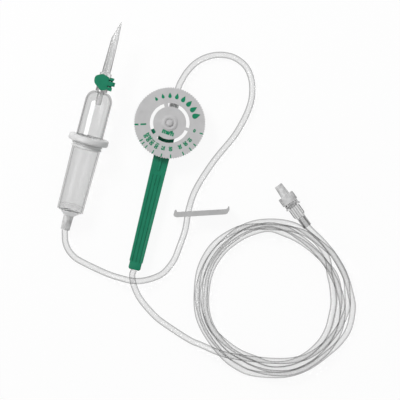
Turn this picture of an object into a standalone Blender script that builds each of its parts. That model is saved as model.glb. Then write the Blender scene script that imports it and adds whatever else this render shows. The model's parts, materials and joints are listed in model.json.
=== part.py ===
"""Gravity infusion set: spiked drip chamber, dial flow regulator, slide clamp and luer lock end.

The set lies on a table at z = 0, as it comes out of its pack. The origin is on the table,
under the dial's axis. +X is to the right, +Y is the way that the spike points, +Z is up.
"""

from math import atan2, cos, degrees, hypot, pi, radians, sin

import bmesh
import bpy
import numpy as np
from mathutils import Vector

MM = 0.001

# Clearances
GAP = 0.3 * MM
RUNNING = 0.25 * MM
OVERRUN = 1.0 * MM
FLUSH = 0.02 * MM
EMBED = 0.5 * MM
EDGE = 0.3 * MM
FINE_EDGE = 0.2 * MM

# Tubing
TUBE_RADIUS = 2.0 * MM
TUBE_POINT_SPACING = 8.0 * MM
SOCKET_DEPTH = 7.0 * MM
LUMEN_RADIUS = 1.4 * MM

# Drip chamber, listed from the outlet stub up to the spike's tip
CHAMBER_X = -67.9 * MM
CHAMBER_Y = -69.0 * MM
CHAMBER_HEADING = 75.1
STUB_LENGTH = 9.9 * MM
STUB_END_RADIUS = 2.95 * MM
STUB_ROOT_RADIUS = 3.3 * MM
CONE_LENGTH = 3.0 * MM
PLUG_DEPTH = 3.6 * MM
PLUG_WALL = 0.9 * MM
SLEEVE_LENGTH = 41.6 * MM
SLEEVE_FOOT_RADIUS = 8.55 * MM
SLEEVE_HEAD_RADIUS = 9.25 * MM
SLEEVE_WALL = 0.9 * MM
MOUTH_LENGTH = 3.6 * MM
MOUTH_RADIUS = 10.0 * MM
MOUTH_GROOVE = 0.55 * MM
FLUID_FILTER_THICKNESS = 0.6 * MM
FLANGE_RADIUS = 13.25 * MM
FLANGE_THICKNESS = 3.4 * MM
FLANGE_ROUNDING = 0.9 * MM
BELL_RADIUS = 8.8 * MM
BELL_LENGTH = 23.4 * MM
BELL_WALL = 1.2 * MM
BELL_SPIGOT_RADIUS = 8.0 * MM
BELL_SPIGOT_LENGTH = 6.0 * MM
SHOULDER_LENGTH = 7.0 * MM
COLLAR_RADIUS = 3.0 * MM
COLLAR_LENGTH = 2.6 * MM
DROP_TUBE_RADIUS = 1.85 * MM
DROP_TUBE_BORE = 1.0 * MM
DROP_TUBE_REACH = 8.4 * MM
DROP_TUBE_SEAT = 2.0 * MM
HOUSING_RADIUS = 3.85 * MM
HOUSING_LENGTH = 11.6 * MM
SPIKE_RING_LENGTH = 0.9 * MM
SPIKE_ROOT_RADIUS = 2.8 * MM
SPIKE_BEVEL_RADIUS = 2.4 * MM
SPIKE_END_RADIUS = 1.5 * MM
SPIKE_POINT_OFFSET = 0.9 * MM
SPIKE_SHAFT_LENGTH = 22.4 * MM
SPIKE_BEVEL_LENGTH = 12.0 * MM
FLUID_LUMEN_RADIUS = 0.95 * MM
FLUID_LUMEN_OFFSET = -0.7 * MM
AIR_LUMEN_RADIUS = 0.65 * MM
AIR_LUMEN_OFFSET = 1.2 * MM
AIR_PORT_RADIUS = 0.55 * MM

# Air vent and its hinged cap, on the side that faces up
VENT_STATION = 6.4 * MM
VENT_BOSS_RADIUS = 3.3 * MM
VENT_BOSS_HEIGHT = 5.6 * MM
VENT_RECESS_RADIUS = 2.5 * MM
VENT_RECESS_DEPTH = 1.6 * MM
AIR_FILTER_THICKNESS = 0.7 * MM
CAP_RADIUS = 4.9 * MM
CAP_THICKNESS = 1.3 * MM
CAP_SKIRT_WALL = 1.2 * MM
CAP_SKIRT_DEPTH = 1.8 * MM
CAP_TAB_RADIUS = 2.8 * MM
CAP_TAB_OFFSET = 4.3 * MM
CAP_TAB_DROP = -0.4 * MM
HINGE_OFFSET = 5.0 * MM
HINGE_HEIGHT = 5.4 * MM
HINGE_BAR_RADIUS = 0.7 * MM
KNUCKLE_RADIUS = 1.4 * MM
KNUCKLE_MOUTH = 1.1 * MM
HINGE_HALF_LENGTH = 4.2 * MM
EAR_THICKNESS = 0.5 * MM
EAR_DROP = 0.9 * MM
EAR_FOOT = 1.2 * MM
EAR_STATIONS = (-1.45 * MM, 2.3 * MM)
NOTCH_START = 2.9 * MM

# Flow regulator
HANDLE_HEADING = 256.3
HUB_RADIUS = 10.3 * MM
HUB_WALL = 1.3 * MM
HUB_FLOOR = 1.4 * MM
HANDLE_TOP = 8.0 * MM
HANDLE_LENGTH = 97.8 * MM
HANDLE_ROOT_WIDTH = 10.4 * MM
HANDLE_END_WIDTH = 8.7 * MM
END_BLOCK_LENGTH = 5.2 * MM
END_BLOCK_WIDTH = 7.9 * MM
END_BLOCK_CORNER = 0.9 * MM
HANDLE_ROUNDING = 0.8 * MM
HANDLE_TOP_WALL = 1.6 * MM
GROOVE_START = 34.8 * MM
GROOVE_SPACING = 2.4 * MM
GROOVE_WIDTH = 0.6 * MM
GROOVE_DEPTH = 0.4 * MM
POINTER_END = 31.3 * MM
POINTER_WIDTH = 1.4 * MM
POINTER_HEIGHT = 0.6 * MM
FLOW_BODY_RADIUS = 8.6 * MM
FLOW_BODY_TOP = 8.2 * MM
NOZZLE_RADIUS = 3.05 * MM
NOZZLE_BORE = 1.2 * MM
INLET_LENGTH = 18.5 * MM
OUTLET_LENGTH = 15.6 * MM
INLET_HEIGHT = 4.6 * MM
OUTLET_HEIGHT = 3.4 * MM
PORT_RADIUS = 0.7 * MM
PORT_CIRCLE = 6.3 * MM
SEAL_RADIUS = 8.0 * MM
SEAL_THICKNESS = 1.1 * MM
PIN_RADIUS = 1.6 * MM
PIN_HEAD_RADIUS = 2.05 * MM
PIN_DEPTH = 5.0 * MM
PIN_HEAD_HEIGHT = 1.0 * MM
DIAL_RADIUS = 23.25 * MM
DIAL_TEETH = 88
DIAL_TOOTH_DEPTH = 0.7 * MM
DIAL_RIM_WIDTH = 1.3 * MM
DIAL_RIM_HEIGHT = 4.0 * MM
DIAL_PLATE = 1.8 * MM
DIAL_HUB_RADIUS = 9.3 * MM
DIAL_HUB_STEP = 0.9 * MM
SLOT_INNER = 10.7 * MM
SLOT_OUTER = 12.9 * MM
SLOT_SPANS = ((107.0, 214.0), (229.0, 335.0), (345.0, 455.0))
DOME_INNER = 2.6 * MM
DOME_OUTER = 5.4 * MM
DOME_HEIGHT = 0.6 * MM
GATE_MARK_RADIUS = 1.45 * MM
GATE_MARK_DISTANCE = 18.9 * MM
GATE_MARK_ANGLE = 161.0
GATE_MARK_DEPTH = 0.3 * MM
METERING_GROOVE_SPAN = (-100.0, 70.0)
METERING_GROOVE_WIDTH = 1.0 * MM
METERING_GROOVE_DEPTH = 0.4 * MM
STOP_LUG_SPAN = (199.0, 214.0)
STOP_LUG_OUTER = 15.0 * MM
STOP_LUG_FOOT = 3.9 * MM
STOP_LUG_HEIGHT = 10.4 * MM
STOP_RIB_INNER = 13.5 * MM
STOP_RIB_OUTER = 15.2 * MM
STOP_RIB_SPAN = 5.0
STOP_CLEARANCE = 1.0
DIAL_CLOSED_TURN = -85.0
DIAL_OPEN_TURN = 74.0

# Slide clamp, standing on its long edge
CLAMP_X = 2.4 * MM
CLAMP_Y = -59.4 * MM
CLAMP_HEADING = 3.4
CLAMP_LENGTH = 36.5 * MM
CLAMP_WIDTH = 11.2 * MM
CLAMP_BAND = 3.4 * MM
CLAMP_WEB = 1.4 * MM
CLAMP_RIM = 1.2 * MM
CLAMP_END_RIM = 3.6 * MM
CLAMP_LIP = 1.8 * MM
CLAMP_NOSE_STEP = 0.7 * MM
CLAMP_NOSE_DROP = 0.4 * MM
CLAMP_NOSE_RUN = 2.2 * MM
CLAMP_NOSE_LIP_START = 2.4 * MM
CLAMP_NOSE_LIP_TOP = 1.9 * MM
CLAMP_NOSE_LIP_END = 1.1 * MM
CLAMP_NOSE_LIP = 0.8 * CLAMP_LIP
CLAMP_TAIL_RUN = 3.0 * MM
CLAMP_TAIL_STEP = 1.6 * MM
CLAMP_TAIL_RISE = 0.5 * MM
CLAMP_TAIL_EDGE = 0.1 * MM
CLAMP_TAIL_SHOULDER = 0.6 * MM
CLAMP_TAIL_LIP_BEND = 1.3 * MM
CLAMP_TAIL_LIP_START = 2.1 * MM
CLAMP_HOLE_PLACE = 9.5 * MM
CLAMP_HOLE_RADIUS = 2.75 * MM
CLAMP_SLOT_WIDTH = 1.4 * MM
CLAMP_SLOT_END = 23.0 * MM
CLAMP_TAPER_END = 15.0 * MM

# Luer lock end, listed from the tube's socket up to the cap's nose
LUER_X = 89.4 * MM
LUER_Y = -67.0 * MM
LUER_HEADING = 125.7
LUER_SOCKET_LENGTH = 7.2 * MM
LUER_CORE_RADIUS = 2.75 * MM
LUER_NARROW_FIN = 2.95 * MM
LUER_WIDE_FIN = 3.95 * MM
LUER_FIN_THICKNESS = 0.9 * MM
LUER_FIN_SETBACK = 0.4 * MM
LUER_SHOULDER_LENGTH = 1.9 * MM
LUER_FIN_LENGTH = 6.2 * MM
LUER_TIP_LENGTH = 23.9 * MM
LUER_TIP_RADIUS = 1.98 * MM
LUER_TIP_ROOT_RADIUS = 2.27 * MM
LUER_LUMEN = 1.1 * MM
RETAINER_RADIUS = 3.5 * MM
RETAINER_LENGTH = 0.9 * MM
COLLAR_BODY_RADIUS = 4.7 * MM
COLLAR_BORE_RADIUS = 3.95 * MM
COLLAR_BODY_LENGTH = 6.2 * MM
COLLAR_FLOOR = 0.9 * MM
COLLAR_FLANGE_RADIUS = 5.1 * MM
COLLAR_FLANGE_LENGTH = 1.2 * MM
COLLAR_WING_RADIUS = 5.6 * MM
COLLAR_WING_WIDTH = 3.0 * MM
THREAD_START = 3.4 * MM
THREAD_END = 2.0 * MM
THREAD_DEPTH = 0.3 * MM
CAP_NOSE_LENGTH = 8.1 * MM
CAP_NOSE_ROOT_RADIUS = 3.05 * MM
CAP_NOSE_END_RADIUS = 2.65 * MM
CAP_NOSE_WALL = 0.45 * MM
CAP_COVER_RADIUS = 5.45 * MM
CAP_COVER_LENGTH = 5.6 * MM
CAP_COVER_WALL = 0.45 * MM
CAP_COVER_PLATE = 0.6 * MM
CAP_VENT_RADIUS = 1.2 * MM
MEMBRANE_THICKNESS = 0.4 * MM

# Coil of spare tubing
COIL_X = 67.5 * MM
COIL_Y = -115.0 * MM
COIL_OUTER = 49.6 * MM
COIL_INNER = 40.0 * MM
COIL_HEIGHT = 8.4 * MM
COIL_ROUNDING = 2.0 * MM

# Facets round a full turn
FINE = 36
MEDIUM = 24
COARSE = 16
COIL_FACETS = 40

# Routes of the free tubing, in millimetres on the table
CHAMBER_TO_REGULATOR = (
    (-68.0, -72.7, 6.2),
    (-67.9, -76.0, 5.2),
    (-67.1, -79.4, 4.2),
    (-65.5, -82.7, 3.3),
    (-62.8, -86.0, 2.6),
    (-59.3, -88.7, 2.2),
    (-49.7, -93.6, 2.1),
    (-39.7, -98.0, 3.2),
    (-31.7, -100.5, 5.6),
    (-23.9, -102.2, 6.9),
    (-16.8, -102.0, 5.6),
    (-9.0, -99.8, 3.0),
    (-3.4, -96.5, 2.1),
    (2.7, -88.7, 2.1),
    (6.4, -79.7, 2.6),
    (9.9, -69.6, 4.2),
    (11.3, -61.5, 5.5),
    (11.8, -58.4, 5.6),
    (12.5, -55.0, 5.4),
    (15.2, -46.5, 4.0),
    (20.3, -36.8, 2.5),
    (29.4, -23.4, 2.1),
    (40.9, -9.5, 2.1),
    (46.3, -1.0, 2.1),
    (50.3, 7.0, 2.1),
    (52.8, 14.4, 2.1),
    (53.6, 21.9, 2.1),
    (52.8, 29.3, 2.1),
    (50.1, 35.8, 2.1),
    (45.8, 40.3, 2.1),
    (39.8, 43.5, 2.1),
    (31.9, 44.5, 2.1),
    (23.9, 43.0, 2.1),
    (17.0, 39.3, 2.4),
    (11.5, 33.8, 3.3),
    (8.0, 28.3, 4.2),
    (5.8, 23.8, 4.6),
)
HANDLE_TO_COIL = (
    (-24.3, -97.0, 3.0),
    (-24.3, -100.2, 2.2),
    (-23.7, -104.1, 2.1),
    (-22.3, -108.0, 2.1),
    (-20.3, -112.3, 2.1),
    (-17.6, -116.2, 2.1),
    (-14.3, -120.2, 2.1),
    (-7.0, -127.5, 2.1),
    (6.6, -136.8, 2.1),
    (15.0, -141.8, 2.6),
    (26.5, -146.4, 3.6),
)
COIL_TO_LUER = ((90.6, -68.7, 5.8),)

# Heights that follow from the sizes above
SEAL_BOTTOM = FLOW_BODY_TOP + GAP
DIAL_HUB_BOTTOM = SEAL_BOTTOM + SEAL_THICKNESS + GAP
DIAL_BOTTOM = DIAL_HUB_BOTTOM - DIAL_HUB_STEP
DIAL_TOP = DIAL_BOTTOM + DIAL_RIM_HEIGHT
DIAL_PLATE_BOTTOM = DIAL_TOP - DIAL_PLATE

# Stations along the drip chamber, measured from the stub's end
CONE_STATION = STUB_LENGTH
RIM_STATION = CONE_STATION + CONE_LENGTH
MOUTH_STATION = RIM_STATION + SLEEVE_LENGTH
MOUTH_TOP_STATION = MOUTH_STATION + MOUTH_LENGTH
FLANGE_STATION = MOUTH_TOP_STATION + GAP
BELL_STATION = FLANGE_STATION + FLANGE_THICKNESS + GAP
SHOULDER_STATION = BELL_STATION + BELL_LENGTH
NECK_STATION = SHOULDER_STATION + SHOULDER_LENGTH
HOUSING_STATION = NECK_STATION + GAP
RING_STATION = HOUSING_STATION + HOUSING_LENGTH
SHAFT_STATION = RING_STATION + SPIKE_RING_LENGTH
BEVEL_STATION = SHAFT_STATION + SPIKE_SHAFT_LENGTH
TIP_STATION = BEVEL_STATION + SPIKE_BEVEL_LENGTH
COLLAR_TOP_STATION = NECK_STATION + COLLAR_LENGTH
DROP_SEAT_STATION = COLLAR_TOP_STATION + GAP
DROP_TOP_STATION = DROP_SEAT_STATION + DROP_TUBE_SEAT
PLUG_TOP_STATION = RIM_STATION + PLUG_DEPTH
CAP_STATION = HOUSING_STATION + VENT_STATION

# Stations along the luer end, measured from the socket's mouth
LUER_SHOULDER_STATION = LUER_SOCKET_LENGTH
LUER_FIN_STATION = LUER_SHOULDER_STATION + LUER_SHOULDER_LENGTH
LUER_FIN_END = LUER_FIN_STATION + LUER_FIN_LENGTH
COLLAR_START = LUER_FIN_END + GAP
COLLAR_FLOOR_END = COLLAR_START + COLLAR_FLOOR
COLLAR_END = COLLAR_START + COLLAR_BODY_LENGTH
CAP_PLATE_START = LUER_TIP_LENGTH + GAP
CAP_NOSE_START = CAP_PLATE_START + CAP_COVER_PLATE
CAP_NOSE_END = CAP_NOSE_START + CAP_NOSE_LENGTH
CAP_COVER_START = CAP_NOSE_START - CAP_COVER_LENGTH

GREEN = (0.02, 0.24, 0.13, 1.0)
MILKY = (0.80, 0.80, 0.80, 1.0)
CLEAR = (0.88, 0.88, 0.88, 1.0)
DIAL_GREY = (0.62, 0.62, 0.62, 1.0)
CLAMP_GREY = (0.45, 0.45, 0.45, 1.0)
SILICONE = (0.75, 0.75, 0.72, 1.0)
WHITE = (0.85, 0.85, 0.85, 1.0)


def clear_scene():
    """Remove every object that the file opened with."""
    for item in list(bpy.data.objects):
        bpy.data.objects.remove(item, do_unlink=True)


def new_collection(name):
    """Add a collection to the scene and return it."""
    group = bpy.data.collections.new(name)
    bpy.context.scene.collection.children.link(group)
    return group


def plastic(name, colour, roughness):
    """Plain plastic with the part's colour."""
    material = bpy.data.materials.new(name)
    material.use_nodes = True
    shader = material.node_tree.nodes["Principled BSDF"]
    shader.inputs["Base Color"].default_value = colour
    shader.inputs["Roughness"].default_value = roughness
    shader.inputs["Metallic"].default_value = 0.0
    material.diffuse_color = colour
    return material


clear_scene()
PARTS = new_collection("infusion_set")
TOOLS = new_collection("cutters")


def frame_at(name, place, turn=(0.0, 0.0, 0.0), parent=None):
    """Empty that carries the pieces of one sub-assembly; turn is in degrees about X, Y, Z."""
    empty = bpy.data.objects.new(name, None)
    TOOLS.objects.link(empty)
    empty.location = place
    empty.rotation_euler = [radians(a) for a in turn]
    empty.parent = parent
    return empty


def lying_frame(name, place, heading, rise):
    """Frame whose Z runs along a lying piece, at a heading from +X, and whose Y points up."""
    return frame_at(name, place, (90.0 - rise, 0.0, heading + 90.0))


def add_piece(name, data, frame, material):
    """A named part, or a cutter where it has no material."""
    item = bpy.data.objects.new(name, data)
    item.parent = frame
    if material is None:
        TOOLS.objects.link(item)
        item.hide_render = True
        item.display_type = "WIRE"
    else:
        PARTS.objects.link(item)
        data.materials.append(material)
    return item


def turned(name, profile, steps, frame, material=None, ring=False):
    """Turn a profile of (radius, height) points, down its outer side, about local Z."""
    mesh = bpy.data.meshes.new(name)
    bm = bmesh.new()
    points = [bm.verts.new((radius, 0.0, height)) for radius, height in profile]
    for a, b in zip(points, points[1:]):
        bm.edges.new((a, b))
    if ring:
        bm.edges.new((points[-1], points[0]))
    bm.to_mesh(mesh)
    bm.free()
    item = add_piece(name, mesh, frame, material)
    screw = item.modifiers.new("turn", "SCREW")
    screw.axis = "Z"
    screw.steps = steps
    screw.render_steps = steps
    screw.use_merge_vertices = True
    screw.merge_threshold = 0.01 * MM
    screw.use_smooth_shade = False
    return item


def outline_curve(name, loops, thickness):
    """Flat filled curve of one outline and its holes, extruded by the thickness."""
    curve = bpy.data.curves.new(name, "CURVE")
    curve.dimensions = "2D"
    curve.fill_mode = "BOTH"
    curve.extrude = thickness / 2
    for loop in loops:
        spline = curve.splines.new("POLY")
        spline.points.add(len(loop) - 1)
        for point, (x, y) in zip(spline.points, loop):
            point.co = (x, y, 0.0, 1.0)
        spline.use_cyclic_u = True
    return curve


def mesh_from_curve(name, curve):
    """Closed mesh of a curve, with its caps welded on."""
    holder = bpy.data.objects.new(name + "_outline", curve)
    TOOLS.objects.link(holder)
    bpy.context.view_layer.update()
    graph = bpy.context.evaluated_depsgraph_get()
    mesh = bpy.data.meshes.new_from_object(holder.evaluated_get(graph))
    bm = bmesh.new()
    bm.from_mesh(mesh)
    bmesh.ops.remove_doubles(bm, verts=bm.verts, dist=0.001 * MM)
    bmesh.ops.recalc_face_normals(bm, faces=bm.faces)
    bm.to_mesh(mesh)
    bm.free()
    bpy.data.objects.remove(holder, do_unlink=True)
    mesh.name = name
    return mesh


def slab(name, loops, low, high, frame, material=None, upright=False):
    """Outline in local XY, thick from low to high along Z; upright puts it in XZ, thick along Y."""
    mesh = mesh_from_curve(name, outline_curve(name, loops, high - low))
    item = add_piece(name, mesh, frame, material)
    middle = (low + high) / 2
    if upright:
        item.rotation_euler = (radians(90.0), 0.0, 0.0)
        item.location = (0.0, middle, 0.0)
    else:
        item.location = (0.0, 0.0, middle)
    return item


def block(name, low, high, frame, material=None):
    """Box between two corners."""
    mesh = bpy.data.meshes.new(name)
    bm = bmesh.new()
    bmesh.ops.create_cube(bm, size=1.0)
    size = Vector(high) - Vector(low)
    bmesh.ops.scale(bm, vec=size, verts=bm.verts)
    bmesh.ops.translate(bm, vec=(Vector(high) + Vector(low)) / 2, verts=bm.verts)
    bm.to_mesh(mesh)
    bm.free()
    return add_piece(name, mesh, frame, material)


def rod(name, start, end, radius, facets, frame, material=None):
    """Round rod between two points of the frame."""
    start, end = Vector(start), Vector(end)
    mesh = bpy.data.meshes.new(name)
    bm = bmesh.new()
    bmesh.ops.create_cone(
        bm,
        cap_ends=True,
        segments=facets,
        radius1=radius,
        radius2=radius,
        depth=(end - start).length,
    )
    bm.to_mesh(mesh)
    bm.free()
    item = add_piece(name, mesh, frame, material)
    item.location = (start + end) / 2
    item.rotation_mode = "QUATERNION"
    item.rotation_quaternion = Vector((0, 0, 1)).rotation_difference(end - start)
    return item


def combine(item, tools, operation):
    """Cut a group of tools from a piece, or join them on, with one exact Boolean."""
    group = bpy.data.collections.new(f"{item.name}_{operation.lower()}")
    TOOLS.children.link(group)
    for tool in tools:
        group.objects.link(tool)
        TOOLS.objects.unlink(tool)
    step = item.modifiers.new(operation.lower(), "BOOLEAN")
    step.operation = operation
    step.solver = "EXACT"
    step.operand_type = "COLLECTION"
    step.collection = group


def cut(item, *tools):
    """Cut the tools from the piece."""
    combine(item, tools, "DIFFERENCE")


def join(item, *tools):
    """Join the tools to the piece."""
    combine(item, tools, "UNION")


def soften(item, width, segments=2, angle=50.0):
    """Round the sharp edges of a piece."""
    bevel = item.modifiers.new("rounding", "BEVEL")
    bevel.width = width
    bevel.segments = segments
    bevel.limit_method = "ANGLE"
    bevel.angle_limit = radians(angle)
    bevel.use_clamp_overlap = True


def arc(radius, start, end, count, centre=(0.0, 0.0)):
    """Points on a circle between two angles in degrees."""
    angles = np.radians(np.linspace(start, end, count))
    return [(centre[0] + radius * cos(a), centre[1] + radius * sin(a)) for a in angles]


def sector(inner, outer, start, end, count):
    """Outline of a ring sector between two angles in degrees."""
    return arc(outer, start, end, count) + arc(inner, end, start, count)


def smooth_route(route, spacing):
    """Evenly spaced points on a smooth curve through the route's points, in metres."""
    points = [Vector(p) for p in route]
    ends = [2 * points[0] - points[1], *points, 2 * points[-1] - points[-2]]
    dense = []
    for before, a, b, after in zip(ends, ends[1:], ends[2:], ends[3:]):
        for t in np.linspace(0.0, 1.0, 16, endpoint=False):
            dense.append(
                0.5
                * (
                    2 * a
                    + (b - before) * t
                    + (2 * before - 5 * a + 4 * b - after) * t**2
                    + (3 * a - before - 3 * b + after) * t**3
                )
            )
    dense.append(points[-1])
    reach = np.cumsum([0.0] + [(b - a).length for a, b in zip(dense, dense[1:])])
    count = max(2, round(reach[-1] / spacing) + 1)
    even = np.linspace(0.0, reach[-1], count)
    return list(zip(*[np.interp(even, reach, [p[axis] for p in dense]) for axis in range(3)]))


def tubing(name, points, material):
    """Length of round tubing along points in metres."""
    curve = bpy.data.curves.new(name, "CURVE")
    curve.dimensions = "3D"
    curve.bevel_depth = TUBE_RADIUS
    curve.bevel_resolution = 2
    curve.use_fill_caps = True
    spline = curve.splines.new("POLY")
    spline.points.add(len(points) - 1)
    for point, place in zip(spline.points, points):
        point.co = (*place, 1.0)
    return add_piece(name, curve, None, material)


def from_mm(route):
    """A route written in millimetres, in metres."""
    return [tuple(value * MM for value in point) for point in route]


CLEAR_PLASTIC = plastic("clear_plastic", CLEAR, 0.15)
TUBE_VINYL = plastic("tube_vinyl", CLEAR, 0.25)
MILKY_PLASTIC = plastic("milky_plastic", MILKY, 0.4)
GREEN_PLASTIC = plastic("green_plastic", GREEN, 0.35)
DIAL_PLASTIC = plastic("dial_plastic", DIAL_GREY, 0.45)
CLAMP_PLASTIC = plastic("clamp_plastic", CLAMP_GREY, 0.4)
SEAL_RUBBER = plastic("seal_rubber", SILICONE, 0.6)
FILTER_WHITE = plastic("filter_white", WHITE, 0.9)

# The chamber lies on its flange and on the sleeve's lower rim
FLANGE_CONTACT = FLANGE_STATION + FLANGE_ROUNDING / 2
CHAMBER_RISE = degrees(atan2(FLANGE_RADIUS - SLEEVE_FOOT_RADIUS, FLANGE_CONTACT - RIM_STATION))
CHAMBER_FOOT_HEIGHT = SLEEVE_FOOT_RADIUS * cos(radians(CHAMBER_RISE)) - RIM_STATION * sin(
    radians(CHAMBER_RISE)
)
CHAMBER = lying_frame(
    "chamber_axis", (CHAMBER_X, CHAMBER_Y, CHAMBER_FOOT_HEIGHT), CHAMBER_HEADING, CHAMBER_RISE
)
VENT_HINGE = frame_at("vent_hinge_axis", (-HINGE_OFFSET, HINGE_HEIGHT, CAP_STATION), parent=CHAMBER)
HANDLE = frame_at("handle_axis", (0.0, 0.0, 0.0), (0.0, 0.0, HANDLE_HEADING))
DIAL_AXIS = frame_at("dial_axis", (0.0, 0.0, 0.0))
CLAMP = frame_at("clamp_axis", (CLAMP_X, CLAMP_Y, 0.0), (0.0, 0.0, CLAMP_HEADING))
LUER_HEIGHT = COLLAR_WING_RADIUS + RUNNING
LUER = lying_frame("luer_axis", (LUER_X, LUER_Y, LUER_HEIGHT), LUER_HEADING, 0.0)
COIL = frame_at("coil_axis", (COIL_X, COIL_Y, 0.0))


def sleeve_bore(station):
    """Inner radius of the sleeve at a station."""
    share = (station - RIM_STATION) / SLEEVE_LENGTH
    outer = SLEEVE_FOOT_RADIUS + share * (SLEEVE_HEAD_RADIUS - SLEEVE_FOOT_RADIUS)
    return min(outer - SLEEVE_WALL, BELL_SPIGOT_RADIUS + GAP)


def make_outlet_cap():
    """Funnel plugged into the sleeve's foot, with the stub that holds the tube."""
    plug = sleeve_bore(RIM_STATION) - GAP
    socket = TUBE_RADIUS + GAP
    profile = (
        (plug, PLUG_TOP_STATION),
        (plug, RIM_STATION - FINE_EDGE),
        (STUB_ROOT_RADIUS + PLUG_WALL, CONE_STATION + EDGE),
        (STUB_ROOT_RADIUS, CONE_STATION - EDGE),
        (STUB_END_RADIUS, EDGE),
        (STUB_END_RADIUS - FINE_EDGE, 0.0),
        (socket, 0.0),
        (socket, SOCKET_DEPTH),
        (LUMEN_RADIUS, SOCKET_DEPTH + GAP),
        (LUMEN_RADIUS, CONE_STATION + PLUG_WALL),
        (plug - PLUG_WALL, PLUG_TOP_STATION),
    )
    return turned("outlet_cap", profile, FINE, CHAMBER, MILKY_PLASTIC, ring=True)


def make_fluid_filter():
    """Fine filter disc on the funnel's rim."""
    radius = sleeve_bore(PLUG_TOP_STATION) - GAP
    low = PLUG_TOP_STATION + GAP
    high = low + FLUID_FILTER_THICKNESS
    profile = ((0.0, high), (radius, high), (radius, low), (0.0, low))
    return turned("fluid_filter", profile, FINE, CHAMBER, FILTER_WHITE)


def make_lower_chamber():
    """Soft tapered sleeve with a stepped mouth that grips the bell's spigot."""
    ridge = MOUTH_RADIUS
    groove = MOUTH_RADIUS - MOUTH_GROOVE
    part = MOUTH_LENGTH / 9
    bore_top = BELL_SPIGOT_RADIUS + GAP
    profile = (
        (ridge - EDGE, MOUTH_TOP_STATION),
        (ridge, MOUTH_TOP_STATION - part),
        (ridge, MOUTH_TOP_STATION - 3 * part),
        (groove, MOUTH_TOP_STATION - 4 * part),
        (groove, MOUTH_TOP_STATION - 5 * part),
        (ridge, MOUTH_TOP_STATION - 6 * part),
        (ridge, MOUTH_TOP_STATION - 8 * part),
        (SLEEVE_HEAD_RADIUS, MOUTH_STATION),
        (SLEEVE_FOOT_RADIUS, RIM_STATION),
        (sleeve_bore(RIM_STATION), RIM_STATION),
        (bore_top, MOUTH_STATION),
        (bore_top, MOUTH_TOP_STATION),
    )
    return turned("lower_chamber", profile, FINE, CHAMBER, MILKY_PLASTIC, ring=True)


def make_flange_ring():
    """Round finger flange at the foot of the bell."""
    low = FLANGE_STATION
    high = FLANGE_STATION + FLANGE_THICKNESS
    soft = FLANGE_ROUNDING
    bore = BELL_SPIGOT_RADIUS + GAP
    upper = [
        (FLANGE_RADIUS - soft + soft * sin(t), high - soft + soft * cos(t))
        for t in np.radians((0.0, 30.0, 60.0, 90.0))
    ]
    lower = [(radius, low + high - height) for radius, height in reversed(upper)]
    profile = (*upper, *lower, (bore, low), (bore, high))
    return turned("flange_ring", profile, FINE, CHAMBER, MILKY_PLASTIC, ring=True)


def make_upper_chamber():
    """Clear bell with rounded shoulders, a spigot below and a collar above."""
    bore = DROP_TUBE_RADIUS + GAP
    shoulder = [radians(a) for a in (0.0, 18.0, 36.0, 54.0, 72.0, 90.0)]
    root = HOUSING_RADIUS - FINE_EDGE
    inner_radius = BELL_RADIUS - BELL_WALL
    outer = [
        (root + (BELL_RADIUS - root) * sin(t), SHOULDER_STATION + SHOULDER_LENGTH * cos(t))
        for t in shoulder
    ]
    inner = [
        (
            bore + (inner_radius - bore) * sin(t),
            SHOULDER_STATION + (SHOULDER_LENGTH - BELL_WALL) * cos(t),
        )
        for t in reversed(shoulder)
    ]
    spigot_bore = BELL_SPIGOT_RADIUS - BELL_WALL
    profile = (
        (COLLAR_RADIUS, COLLAR_TOP_STATION),
        (COLLAR_RADIUS, NECK_STATION),
        *outer,
        (BELL_RADIUS, BELL_STATION),
        (BELL_SPIGOT_RADIUS, BELL_STATION),
        (BELL_SPIGOT_RADIUS, BELL_STATION - BELL_SPIGOT_LENGTH),
        (spigot_bore, BELL_STATION - BELL_SPIGOT_LENGTH),
        (spigot_bore, BELL_STATION),
        (inner_radius, BELL_STATION + BELL_WALL),
        *inner,
        (bore, COLLAR_TOP_STATION),
    )
    return turned("upper_chamber", profile, FINE, CHAMBER, CLEAR_PLASTIC, ring=True)


def make_drop_tube():
    """Drop-forming tube that hangs into the bell from the spike's base."""
    top = DROP_TOP_STATION - GAP
    low = NECK_STATION - DROP_TUBE_REACH
    profile = (
        (DROP_TUBE_RADIUS, top),
        (DROP_TUBE_RADIUS, low + 2 * EDGE),
        (DROP_TUBE_RADIUS - FINE_EDGE, low + FINE_EDGE),
        (DROP_TUBE_BORE + FINE_EDGE, low),
        (DROP_TUBE_BORE, low),
        (DROP_TUBE_BORE, top),
    )
    return turned("drop_tube", profile, MEDIUM, CHAMBER, CLEAR_PLASTIC, ring=True)


def ear_outline():
    """Ear that carries the hinge bar, seen along the chamber's axis."""
    hinge = (-HINGE_OFFSET, HINGE_HEIGHT)
    reach = HINGE_BAR_RADIUS + EDGE
    head = arc(reach, 200.0, 0.0, 7, hinge)
    foot = (
        (-NOTCH_START + GAP, HINGE_HEIGHT - EAR_DROP),
        (-NOTCH_START + GAP, 0.0),
        (-HOUSING_RADIUS + FINE_EDGE, EAR_FOOT),
    )
    return head + list(foot)


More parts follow.
